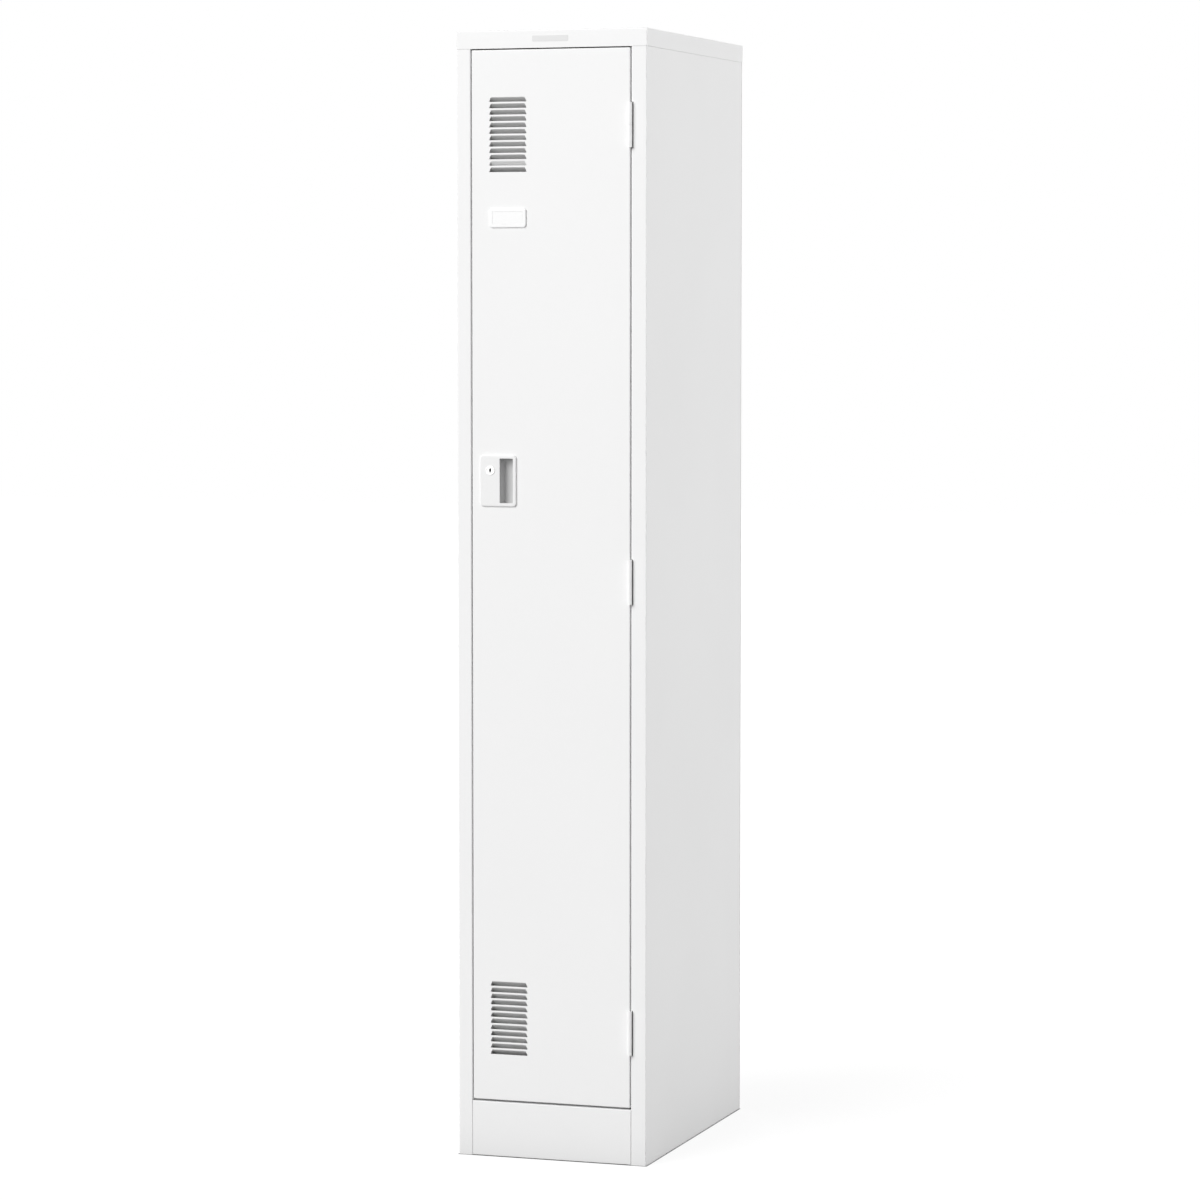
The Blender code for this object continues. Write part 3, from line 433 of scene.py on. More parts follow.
def baked(mesh: bpy.types.Mesh, modifiers: Iterable[tuple[str, Mapping[str, object]]]) -> bpy.types.Mesh:
    """Runs modifiers on a mesh and returns the plain result.

    Args:
        mesh: the mesh, which is used up.
        modifiers: each modifier's type and settings, in order.

    Returns:
        The new mesh.
    """
    holder = placed("holder", mesh)
    for kind, settings in modifiers:
        modifier = holder.modifiers.new(kind.lower(), kind)
        for name, value in settings.items():
            setattr(modifier, name, value)
    result = evaluated(holder)
    bpy.data.objects.remove(holder)
    bpy.data.meshes.remove(mesh)
    return result


def shaded(mesh: bpy.types.Mesh, crease: Crease = Crease.MOULDED) -> bpy.types.Mesh:
    """Smooths a mesh's shading, with flat faces kept flat and creases kept crisp.

    Args:
        mesh: the mesh, which is used up.
        crease: which edges stay sharp.

    Returns:
        The mesh with weighted normals.
    """
    earlier_normals = mesh.attributes.get("custom_normal")
    if earlier_normals:
        mesh.attributes.remove(earlier_normals)
    mesh.shade_smooth()
    mesh.set_sharp_from_angle(angle=math.radians(crease.value))
    return baked(mesh, [("WEIGHTED_NORMAL", {"mode": "FACE_AREA", "weight": 80, "keep_sharp": True})])


def cut(mesh: bpy.types.Mesh, tool: bpy.types.Mesh) -> bpy.types.Mesh:
    """Takes one closed mesh out of another.

    Args:
        mesh: the mesh to cut, which is used up.
        tool: the shape that is taken out of it, also used up.

    Returns:
        What is left.
    """
    holder = placed("tool", tool)
    result = baked(mesh, [("BOOLEAN", {"object": holder, "operation": "DIFFERENCE", "solver": "EXACT"})])
    bpy.data.objects.remove(holder)
    bpy.data.meshes.remove(tool)
    return result


def drawn(shape: bmesh.types.BMesh, closed: bool = True) -> bpy.types.Mesh:
    """Turns a bmesh into a mesh with its doubles merged.

    Args:
        shape: the bmesh, which is used up.
        closed: whether it is a closed shape, whose faces are turned outwards.

    Returns:
        The mesh.
    """
    bmesh.ops.remove_doubles(shape, verts=shape.verts, dist=WELD)
    if closed:
        bmesh.ops.recalc_face_normals(shape, faces=shape.faces)
    mesh = bpy.data.meshes.new("drawn")
    shape.to_mesh(mesh)
    shape.free()
    return mesh


def install(name: str, mesh: bpy.types.Mesh, body: Body, finish: Finish,
            *stands_for: str) -> bpy.types.Object:
    """Puts a finished piece on its body.

    Args:
        name: the piece's name.
        mesh: its mesh, drawn in place.
        body: the body that it moves with.
        finish: its finish, used unless the mesh already has materials.
        stands_for: the CAD nodes that it replaces.

    Returns:
        The piece.
    """
    if not mesh.materials:
        mesh.materials.append(finish.material())
    piece = placed(name, mesh)
    mesh.name = name
    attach(piece, body.value)
    if stands_for:
        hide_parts(*stands_for)
    LOG.info("%s: %d faces, %s", name, len(mesh.polygons), finish.name)
    return piece


def dress(finish: Finish, *nodes: str) -> None:
    """Gives a finish to CAD nodes that stay as they are.

    Args:
        finish: the finish.
        nodes: the nodes' names.
    """
    for node in nodes:
        materials = frame["nodes"][node].data.materials
        materials.clear()
        materials.append(finish.material())
        LOG.info("%s: kept, %s", node, finish.name)


def refine(finish: Finish, body: Body, *nodes: str) -> None:
    """Replaces CAD nodes with smooth-shaded copies of the same shape.

    Args:
        finish: the copies' finish.
        body: the body that they move with.
        nodes: the nodes' names.
    """
    for node in nodes:
        shape = bmesh.new()
        shape.from_mesh(frame["nodes"][node].data)
        mesh = drawn(shape, closed=False)
        mesh.materials.clear()
        install(f"smooth_{node}", shaded(mesh, Crease.PRESSED), body, finish, node)


def arc(centre: Flat, radius: float, start: float, end: float, steps: int) -> list[Flat]:
    """Points on an arc, in degrees, both ends included."""
    angles = [math.radians(start + (end - start) * step / steps) for step in range(steps + 1)]
    return [(centre[0] + radius * math.cos(angle), centre[1] + radius * math.sin(angle)) for angle in angles]


def rounded(left: float, right: float, low: float, high: float, radius: float, steps: int = 8) -> list[Flat]:
    """Draws a rectangle with round corners.

    Args:
        left, right, low, high: its sides.
        radius: the corners' radius.
        steps: segments in each corner.

    Returns:
        Its points, anticlockwise from the lower right corner.
    """
    return [
        *arc((right - radius, low + radius), radius, -90, 0, steps),
        *arc((right - radius, high - radius), radius, 0, 90, steps),
        *arc((left + radius, high - radius), radius, 90, 180, steps),
        *arc((left + radius, low + radius), radius, 180, 270, steps),
    ]


def front_outline(low: Vector, high: Vector, inset: float, corner: float, steps: int = 8) -> list[Flat]:
    """A box's outline from the front, drawn in by an inset and with round corners."""
    return rounded(low.x + inset, high.x - inset, low.z + inset, high.z - inset, corner, steps)


def disc(centre: Flat, radius: float, steps: int = 8) -> list[Flat]:
    """A circle with as many points as a rounded rectangle of the same steps."""
    count = 4 * (steps + 1)
    return arc(centre, radius, -90 + 180 / count, 270 - 180 / count, count - 1)


def filleted(points: Sequence[Vector], radius: float, steps: int = 6) -> list[Vector]:
    """Rounds the inner corners of a path.

    Args:
        points: the path, in two or three dimensions.
        radius: the corners' radius.
        steps: segments in each corner.

    Returns:
        The rounded path.
    """
    path = [points[0]]
    for before, corner, after in zip(points, points[1:], points[2:]):
        come = (before - corner).normalized()
        leave = (after - corner).normalized()
        turn = math.pi - come.angle(leave)
        start = corner + come * radius * math.tan(turn / 2)
        end = corner + leave * radius * math.tan(turn / 2)
        handle = radius * math.tan(turn / 4) * 4 / 3
        first, second = start - come * handle, end - leave * handle
        for step in range(steps + 1):
            t = step / steps
            s = 1 - t
            path.append(start * s ** 3 + first * 3 * s * s * t + second * 3 * s * t * t + end * t ** 3)
    path.append(points[-1])
    return path


class LoopStack:
    """A closed shape made of rings with as many points each, capped at its first and last ring."""

    def __init__(self, axis: Axis, *finishes: Finish) -> None:
        """Starts an empty stack.

        Args:
            axis: the axis that the rings lie across.
            finishes: what the faces choose from by index.
        """
        self.axis = axis
        self.finishes = finishes
        self.rings: list[tuple[list[Place], int]] = []

    def ring(self, outline: Sequence[Flat], level: float, finish: int = 0) -> None:
        """Adds a ring.

        Args:
            outline: the ring's points across the axis.
            level: its place along the axis.
            finish: index of the finish of the faces up to it.
        """
        corners = []
        for point in outline:
            corner = list(point)
            corner.insert(self.axis.value, level)
            corners.append(tuple(corner))
        self.rings.append((corners, finish))

    def mesh(self, crease: Crease = Crease.MOULDED) -> bpy.types.Mesh:
        """Bridges the rings and caps the ends.

        Args:
            crease: which edges stay sharp.

        Returns:
            The closed, shaded mesh.
        """
        shape = bmesh.new()
        loops = [[shape.verts.new(point) for point in ring] for ring, _ in self.rings]
        for near, far, (_, finish) in zip(loops, loops[1:], self.rings[1:]):
            for index in range(len(near)):
                after = (index + 1) % len(near)
                shape.faces.new((near[index], near[after], far[after], far[index])).material_index = finish
        shape.faces.new(loops[0]).material_index = self.rings[0][1]
        shape.faces.new(loops[-1]).material_index = self.rings[-1][1]
        mesh = shaded(drawn(shape), crease)
        for finish in self.finishes:
            mesh.materials.append(finish.material())
        return mesh


def edge_levels(radius: float, steps: int = 4) -> list[Flat]:
    """A quarter-round edge as (inset, drop below the face) pairs, from the side up to the face."""
    return [(radius - x, radius - y) for x, y in arc((0, 0), radius, 0, 90, steps)]


def lathe(profile: Sequence[Flat], axis: Axis, centre: Place, fillet: float = 0.0,
          steps: int = 48) -> bpy.types.Mesh:
    """Spins a profile that starts and ends on the axis, or that closes on itself round a bore.

    Args:
        profile: (radius, level along the axis) points.
        axis: the axis's direction.
        centre: a point on the axis.
        fillet: radius of the profile's corners.
        steps: segments round the axis.

    Returns:
        The closed mesh.
    """
    path = [Vector(point) for point in profile]
    if fillet:
        path = filleted(path, fillet, steps=3)
    along = axis.value
    across = (along + 1) % 3
    shape = bmesh.new()
    corners = []
    for radius, level in path:
        corner = list(centre)
        corner[along] = level
        corner[across] += radius
        corners.append(shape.verts.new(corner))
    edges = [shape.edges.new(pair) for pair in zip(corners, corners[1:])]
    turn_axis = [float(index == along) for index in range(3)]
    bmesh.ops.spin(shape, geom=corners + edges, cent=centre, axis=turn_axis, angle=2 * math.pi, steps=steps,
                   use_merge=True)
    bmesh.ops.remove_doubles(shape, verts=shape.verts, dist=WELD)
    bmesh.ops.dissolve_degenerate(shape, edges=shape.edges, dist=WELD)
    return shaded(drawn(shape), Crease.TURNED)


def rod_along(route: Sequence[Place], radius: float, bend: float) -> bpy.types.Mesh:
    """Draws a round bar along a route.

    Args:
        route: the bar's corners and ends.
        radius: the bar's radius.
        bend: the radius of its bends.

    Returns:
        The closed mesh.
    """
    path = filleted([Vector(point) for point in route], bend, steps=10)
    curve = bpy.data.curves.new("bar", "CURVE")
    curve.dimensions = "3D"
    curve.bevel_depth = radius
    curve.bevel_resolution = 6
    curve.use_fill_caps = True
    spline = curve.splines.new("POLY")
    spline.points.add(len(path) - 1)
    for point, place in zip(spline.points, path):
        point.co = (*place, 1.0)
    holder = placed("bar", curve)
    mesh = evaluated(holder)
    bpy.data.objects.remove(holder)
    bpy.data.curves.remove(curve)
    mesh.materials.clear()
    return shaded(mesh)


class FoldedSheet:
    """The outer surface of a folded sheet, drawn with sharp folds until it is folded."""

    # The least turn of a fold; the joints between a panel's cells turn by nothing.
    LEAST_FOLD = math.radians(75)

    def __init__(self) -> None:
        """Starts an empty sheet."""
        self.surface = bmesh.new()
        self.corners: dict[tuple[int, ...], bmesh.types.BMVert] = {}
        self.pressings: list[bpy.types.Mesh] = []

    def face(self, points: Iterable[Place], outward: Place) -> None:
        """Adds one flat face.

        Args:
            points: its corners in order.
            outward: the side that it faces.
        """
        corners = []
        for point in points:
            key = tuple(round(value / WELD) for value in point)
            if key not in self.corners:
                self.corners[key] = self.surface.verts.new(point)
            corners.append(self.corners[key])
        made = self.surface.faces.new(corners)
        made.normal_update()
        if made.normal.dot(Vector(outward)) < 0:
            made.normal_flip()

    def panel(self, x: float | Span, y: float | Span, z: float | Span, outward: Place,
              skip: Iterable[tuple[int, int]] = ()) -> None:
        """Adds a flat panel in cells.

        Args:
            x, y, z: one of them is a single value, and the others are rising lists of cell edges.
            outward: the side that the panel faces.
            skip: the (column, row) of cells that are left open.
        """
        spans = [(axis, value) for axis, value in enumerate((x, y, z)) if not isinstance(value, float)]
        level = [value if isinstance(value, float) else 0.0 for value in (x, y, z)]
        (first_axis, first), (second_axis, second) = spans
        for column in range(len(first) - 1):
            for row in range(len(second) - 1):
                if (column, row) in skip:
                    continue
                points = []
                for step, rise in ((0, 0), (1, 0), (1, 1), (0, 1)):
                    point = list(level)
                    point[first_axis] = first[column + step]
                    point[second_axis] = second[row + rise]
                    points.append(tuple(point))
                self.face(points, outward)

    def pierced(self, outline: Sequence[Flat], holes: Sequence[Sequence[Flat]], level: float) -> None:
        """Adds a front-facing panel with holes.

        Args:
            outline: the panel's (X, Z) outline.
            holes: the holes' outlines.
            level: its place along Y.
        """
        points: list[Flat] = []
        loops = []
        for loop in (outline, *holes):
            loops.append(list(range(len(points), len(points) + len(loop))))
            points += loop
        inside_with_holes = 2
        _, _, triangles, sources, _, _ = delaunay_2d_cdt([Vector(point) for point in points], [], loops,
                                                         inside_with_holes, WELD)
        for triangle in triangles:
            flat = [points[sources[corner][0]] for corner in triangle]
            self.face([(across, level, up) for across, up in flat], (0, -1, 0))

    def weld(self, mesh: bpy.types.Mesh) -> None:
        """Adds a pressed surface, to be joined to the sheet where their corners meet."""
        self.pressings.append(mesh)

    def folded(self, thickness: float, radius: float = 1.6 * MM, steps: int = 4) -> bpy.types.Mesh:
        """Rounds the square folds and adds the thickness on the inner side.

        Args:
            thickness: the sheet's thickness.
            radius: the folds' outer radius.
            steps: segments in each fold.

        Returns:
            The closed, shaded mesh.
        """
        bend = {"width": radius, "segments": steps, "limit_method": "ANGLE", "angle_limit": self.LEAST_FOLD}
        wall = {"thickness": thickness, "offset": -1.0, "use_even_offset": True, "use_quality_normals": True}
        sheet = bmesh.new()
        for part in (baked(drawn(self.surface, closed=False), [("BEVEL", bend)]), *self.pressings):
            sheet.from_mesh(part)
            bpy.data.meshes.remove(part)
        return shaded(baked(drawn(sheet, closed=False), [("SOLIDIFY", wall)]), Crease.FOLDED)


class RowTree:
    """A Geometry Nodes tree that repeats a pressing along a straight row."""

    def __init__(self) -> None:
        """Builds the tree with named inputs."""
        self.tree = bpy.data.node_groups.new("row of pressings", "GeometryNodeTree")
        interface = self.tree.interface
        for name, kind in (("Pressing", "Object"), ("Count", "Int"), ("First", "Vector"), ("Step", "Vector"),
                           ("Shallow Row", "Int"), ("Shallow Depth", "Float"), ("Finish", "Material")):
            interface.new_socket(name=name, in_out="INPUT", socket_type=f"NodeSocket{kind}")
        interface.new_socket(name="Row", in_out="OUTPUT", socket_type="NodeSocketGeometry")
        given = add_node(self.tree, "NodeGroupInput").outputs
        line = add_node(self.tree, "GeometryNodeMeshLine",
                        {"Count": given["Count"], "Start Location": given["First"], "Offset": given["Step"]})
        index = add_node(self.tree, "GeometryNodeInputIndex")
        # Inputs 2 and 3 of a Compare node are its whole numbers.
        shallow = add_node(self.tree, "FunctionNodeCompare", {2: index.outputs[0], 3: given["Shallow Row"]},
                           data_type="INT", operation="EQUAL")
        depth = add_node(self.tree, "GeometryNodeSwitch",
                         {"Switch": shallow.outputs[0], "False": 1.0, "True": given["Shallow Depth"]},
                         input_type="FLOAT")
        scale = add_node(self.tree, "ShaderNodeCombineXYZ", {"X": 1.0, "Y": depth.outputs[0], "Z": 1.0})
        pressing = add_node(self.tree, "GeometryNodeObjectInfo", {"Object": given["Pressing"]})
        copies = add_node(self.tree, "GeometryNodeInstanceOnPoints",
                          {"Points": line.outputs[0], "Instance": pressing.outputs["Geometry"],
                           "Scale": scale.outputs[0]})
        plain = add_node(self.tree, "GeometryNodeRealizeInstances", {"Geometry": copies.outputs[0]})
        painted = add_node(self.tree, "GeometryNodeSetMaterial",
                           {"Geometry": plain.outputs[0], "Material": given["Finish"]})
        add_node(self.tree, "NodeGroupOutput", {"Row": painted.outputs[0]})

    def row(self, pressing: bpy.types.Mesh, count: int, first: Place, step: Place, finish: Finish,
            shallow_row: int = -1, shallow_depth: float = 1.0) -> bpy.types.Mesh:
        """Makes one row.

        Args:
            pressing: the mesh to repeat, drawn round the origin.
            count: how many there are.
            first: the first one's place.
            step: the way to the next one.
            finish: the row's finish.
            shallow_row: index of a pressing that is less deep, or -1.
            shallow_depth: that one's share of the full depth.

        Returns:
            The row as a plain mesh.
        """
        pattern = placed("pressing", pressing)
        holder = placed("row", bpy.data.meshes.new("row"))
        modifier = holder.modifiers.new("row", "NODES")
        modifier.node_group = self.tree
        values = {"Pressing": pattern, "Count": count, "First": first, "Step": step,
                  "Shallow Row": shallow_row, "Shallow Depth": shallow_depth, "Finish": finish.material()}
        for item in self.tree.interface.items_tree:
            if item.in_out == "INPUT":
                modifier[item.identifier] = values[item.name]
        mesh = evaluated(holder)
        empty = holder.data
        for item in (pattern, holder):
            bpy.data.objects.remove(item)
        bpy.data.meshes.remove(empty)
        return mesh


def joined(*meshes: bpy.types.Mesh) -> bpy.types.Mesh:
    """Joins meshes of one finish.

    Args:
        meshes: the meshes, of which all but the first are used up.

    Returns:
        The first one, with the others in it.
    """
    shape = bmesh.new()
    for mesh in meshes:
        shape.from_mesh(mesh)
    result = meshes[0]
    shape.to_mesh(result)
    shape.free()
    for mesh in meshes[1:]:
        bpy.data.meshes.remove(mesh)
    return result


@dataclass(frozen=True)
class SpotWeld:
    """A spot weld as it shows through the coat: a shallow dish inside a low rim."""

    radius: float = 4 * MM
    height: float = 0.28 * MM
    profile: tuple[Flat, ...] = ((0.0, 0.2), (0.6, 0.35), (0.8, 1.0), (1.0, -1.0), (0.0, -1.0))

    def mark(self) -> bpy.types.Mesh:
        """One mark on a face towards +Y, round the origin."""
        points = [(self.radius * out, self.height * up) for out, up in self.profile]
        return lathe(points, Axis.Y, (0.0, 0.0, 0.0), steps=16)

    def columns(self, rows: RowTree, node: str, face: float, inset: Flat, count: int) -> bpy.types.Mesh:
        """Makes the marks down the two upright edges of a sheet.

        Args:
            rows: the tree that repeats them.
            node: the sheet's CAD node.
            face: the place of its face along Y.
            inset: how far the columns are from the sides, and their ends from the sheet's ends.
            count: marks in each column.

        Returns:
            Both columns as one mesh.
        """
        low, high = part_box(node)
        side, end = inset
        step = (high.z - low.z - 2 * end) / (count - 1)
        return joined(*(rows.row(self.mark(), count, (x, face, low.z + end), (0.0, 0.0, step), PAINT)
                        for x in (low.x + side, high.x - side)))


@dataclass
class Carcass:
    """The case: side shells, cap, kick plate, back and the sections inside."""

    rows: RowTree
    sheet: float = 0.8 * MM
    bend: float = 1.6 * MM
    stop_width: float = 10 * MM
    notch_width: float = 3.3 * MM
    notch_end: float = 0.8 * MM
    plate_left: float = -31.5 * MM
    plate_right: float = 28.4 * MM
    plate_low: float = 1771.8 * MM
    plate_high: float = 1781.2 * MM
    plate_thick: float = 0.3 * MM
    plate_corner: float = 1.5 * MM
    weld: SpotWeld = field(default_factory=SpotWeld)
    weld_inset: Flat = (9 * MM, 60 * MM)
    weld_count: int = 13

    def build(self) -> None:
        """Builds and dresses the case."""
        for name, side in (("left", -1), ("right", 1)):
            self.side_shell(name, side)
        self.cap()
        refine(PAINT, Body.CARCASS, "kick_plate")
        self.rail_plate()
        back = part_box("back_panel")[1].y
        marks = self.weld.columns(self.rows, "back_panel", back, self.weld_inset, self.weld_count)
        install("back_weld_marks", marks, Body.CARCASS, PAINT)
        dress(PAINT, "back_panel", "door_header", "floor_panel", "hat_shelf", "left_foot_rail",
              "right_foot_rail")

    def side_shell(self, name: str, side: int) -> None:
        """Makes a wall with its stile and rear flange, whose welds the coat closes into round corners.

        The right stile's corner is notched for the hinges.

        Args:
            name: left or right.
            side: -1 or 1, the way along X that the wall faces.
        """
        wall_low, wall_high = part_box(f"{name}_side_panel")
        post_low, post_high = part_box(f"{name}_front_post")
        flange_low, flange_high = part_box(f"{name}_rear_flange")
        wall = wall_high.x if side > 0 else wall_low.x
        stop = post_low.x if side > 0 else post_high.x
        flange = flange_low.x if side > 0 else flange_high.x
        lip = stop + side * self.stop_width
        front, rear = wall_low.y, wall_high.y
        stop_face = post_high.y - self.sheet
        neck = front + 2 * self.bend
        stile = [0.0, post_high.z]
        face = sorted((wall, lip))
        if side > 0:
            for place in PLACES:
                stile.append(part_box(f"hinge_frame_leaf_{place}")[0].z - self.notch_end)
                stile.append(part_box(f"hinge_door_leaf_{place}")[1].z + self.notch_end)
            face.insert(1, lip + self.notch_width)
        stile.sort()
        heights = [*stile, wall_high.z]
        notches = {(0, row) for row in range(1, len(stile) - 1, 2)}
        shell = FoldedSheet()
        shell.panel(wall, (front, neck, rear), heights, (side, 0, 0), {(0, len(stile) - 1)})
        shell.panel(sorted((wall, flange)), rear, heights, (0, 1, 0))
        shell.panel(face, front, stile, (0, -1, 0), notches)
        shell.panel(lip, (front, neck, stop_face), stile, (-side, 0, 0), notches)
        shell.panel(sorted((lip, stop)), stop_face, stile, (0, -1, 0))
        install(f"{name}_side_shell", shell.folded(self.sheet, self.bend), Body.CARCASS, PAINT,
                f"{name}_side_panel", f"{name}_front_post", f"{name}_rear_flange")

    def cap(self) -> None:
        """The lid with its skirts."""
        low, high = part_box("top_cap")
        cap = FoldedSheet()
        skirt = (low.z, high.z)
        cap.panel((low.x, high.x), (low.y, high.y), high.z, (0, 0, 1))
        for x, side in ((low.x, -1), (high.x, 1)):
            cap.panel(x, (low.y, high.y), skirt, (side, 0, 0))
        for y, side in ((low.y, -1), (high.y, 1)):
            cap.panel((low.x, high.x), y, skirt, (0, side, 0))
        install("folded_cap", cap.folded(self.sheet), Body.CARCASS, PAINT, "top_cap")

    def rail_plate(self) -> None:
        """A bare label plate on the top rail."""
        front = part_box("top_cap")[0].y
        plate = LoopStack(Axis.Y)
        plate.ring(self.plate_outline(0.0), front)
        for inset, drop in edge_levels(self.plate_thick / 2):
            plate.ring(self.plate_outline(inset), front - self.plate_thick + drop)
        install("rail_plate", plate.mesh(), Body.CARCASS, LABEL_FILM)

    def plate_outline(self, inset: float) -> list[Flat]:
        """The label plate's outline, drawn in by an inset."""
        return rounded(self.plate_left + inset, self.plate_right - inset, self.plate_low + inset,
                       self.plate_high - inset, self.plate_corner, 4)


@dataclass
class Interior:
    """The hanging rod and its sockets, the umbrella loop and the door stops."""

    wire: float = 2.5 * MM
    wire_bend: float = 9 * MM
    rod_radius: float = 9.5 * MM
    socket_wall: float = 2.9 * MM
    socket_floor: float = 2 * MM
    socket_fillet: float = 0.5 * MM
    bumper_crown: float = 0.7
    bumper_rise: float = 0.15 * MM
    bumper_skirt: float = 1.2 * MM
    bumper_fillet: float = 0.4 * MM

    def build(self) -> None:
        """Builds and dresses the fittings."""
        self.rod()
        self.umbrella_loop()
        self.stops()

    def rod(self) -> None:
        """The rod and the two sockets that hold its ends."""
        low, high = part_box("hanger_rod")
        centre = (0.0, 0.0, (low.z + high.z) / 2)
        bar = [(0.0, low.x), (self.rod_radius, low.x), (self.rod_radius, high.x), (0.0, high.x)]
        install("plated_rod", lathe(bar, Axis.X, centre), Body.CARCASS, CHROME, "hanger_rod")
        for name, side in (("left", -1), ("right", 1)):
            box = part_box(f"rod_socket_{name}")
            wall = max(abs(box[0].x), abs(box[1].x))
            mouth = min(abs(box[0].x), abs(box[1].x))
            flange = (box[1].z - box[0].z) / 2
            bore = self.rod_radius + GAP
            hub = bore + self.socket_wall
            floor = wall - self.socket_floor
            profile = [(0.0, wall), (flange, wall), (flange, floor), (hub, floor), (hub, mouth),
                       (bore, mouth), (bore, floor), (0.0, floor)]
            facing = [(radius, side * level) for radius, level in profile]
            shape = lathe(facing, Axis.X, centre, self.socket_fillet)
            install(f"moulded_socket_{name}", shape, Body.CARCASS, SOCKET_PLASTIC, f"rod_socket_{name}")

    def umbrella_loop(self) -> None:
        """The wire loop on the left wall."""
        low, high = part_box("umbrella_loop")
        wall, tip = low.x + self.wire, high.x - self.wire
        near, far = low.y + self.wire, high.y - self.wire
        level = low.z + self.wire
        route = [(wall, near, high.z), (wall, near, level), (tip, near, level), (tip, far, level),
                 (wall, far, level), (wall, far, high.z)]
        loop = rod_along(route, self.wire, self.wire_bend)
        install("plated_umbrella_loop", loop, Body.CARCASS, CHROME, "umbrella_loop")

    def stops(self) -> None:
        """The rubber bumpers and the magnet."""
        for place in ("upper", "lower"):
            low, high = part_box(f"door_bumper_{place}")
            centre = ((low.x + high.x) / 2, 0.0, (low.z + high.z) / 2)
            radius = (high.x - low.x) / 2
            profile = [(0.0, low.y), (radius * self.bumper_crown, low.y + self.bumper_rise),
                       (radius, high.y - self.bumper_skirt), (radius, high.y), (0.0, high.y)]
            dome = lathe(profile, Axis.Y, centre, self.bumper_fillet)
            install(f"domed_bumper_{place}", dome, Body.CARCASS, RUBBER, f"door_bumper_{place}")
        dress(FERRITE, "magnet_catch")


@dataclass(frozen=True)
class Louvre:
    """One pressed louvre: a blade bent in at the top, with drawn cheeks and an edge that hangs below the cut.

    Its shape is worked out from fall, the share of the height below the top bend, and inset, the distance
    from the nearer end.
    """

    height: float = 7.4 * MM
    length: float = 62 * MM
    taper: float = 3.2 * MM
    depth: float = 10 * MM
    cheek: float = 0.5 * MM
    overhang: float = 3.5 * MM
    rows: int = 9
    bend: float = 0.06
    end_curl: float = 1.7
    cheek_columns: tuple[float, ...] = (0.0, 0.2, 0.5, 0.8, 1.0)

    def insets(self) -> list[float]:
        """Distances from a louvre's end at which its columns lie."""
        return [self.cheek * share for share in self.cheek_columns]

    def half(self, fall: float) -> float:
        """Half the louvre's length at a fall."""
        return self.length / 2 - self.taper * (1 - fall) ** self.end_curl

    def sink(self, fall: float, inset: float) -> float:
        """Works out how far the sheet is pressed in.

        Args:
            fall: the share of the height.
            inset: the distance from the end.

        Returns:
            The depth behind the door's face.
        """
        slope = (math.hypot(fall, self.bend) - self.bend) / (math.hypot(1, self.bend) - self.bend)
        share = min(inset / self.cheek, 1.0)
        return self.depth * slope * share * share * (3 - 2 * share)

    def line(self, fall: float) -> list[tuple[float, float]]:
        """Works out the columns of one row.

        Args:
            fall: the row's share of the height.

        Returns:
            Their (X, inset) from left to right.
        """
        half = self.half(fall)
        left = [(-half + inset, inset) for inset in self.insets()]
        return left + [(-x, inset) for x, inset in reversed(left)]

    def scoop(self) -> bpy.types.Mesh:
        """Draws the pressed blade and its hanging edge.

        Returns:
            The blade's outer surface, round the middle of its top bend.
        """
        shape = bmesh.new()
        grid = []
        for row in range(self.rows + 1):
            fall = row / self.rows
            grid.append([shape.verts.new((x, self.sink(fall, inset), -fall * self.height))
                         for x, inset in self.line(fall)])
        left = len(self.insets()) - 1
        hung = grid[-1][left:left + 2]
        fall = 1 + self.overhang / self.height
        edge = [shape.verts.new((end.co.x, self.sink(fall, self.cheek), -fall * self.height)) for end in hung]
        for upper, lower in (*zip(grid, grid[1:]), (hung, edge)):
            for index in range(len(upper) - 1):
                made = shape.faces.new((upper[index], lower[index], lower[index + 1], upper[index + 1]))
                made.normal_update()
                if made.normal.y > 0:
                    made.normal_flip()
        return drawn(shape, closed=False)

    def rim(self) -> list[Flat]:
        """Works out the hole that the blade is pressed from.

        Returns:
            Its (X, Z) outline, anticlockwise from the lower left corner.
        """
        falls = [row / self.rows for row in range(self.rows + 1)]
        right = [(self.half(fall), -fall * self.height) for fall in reversed(falls)]
        top = [(x, 0.0) for x, _ in reversed(self.line(0.0))][1:-1]
        left = [(-self.half(fall), -fall * self.height) for fall in falls]
        return [left[-1], *right, *top, *left[:-1]]


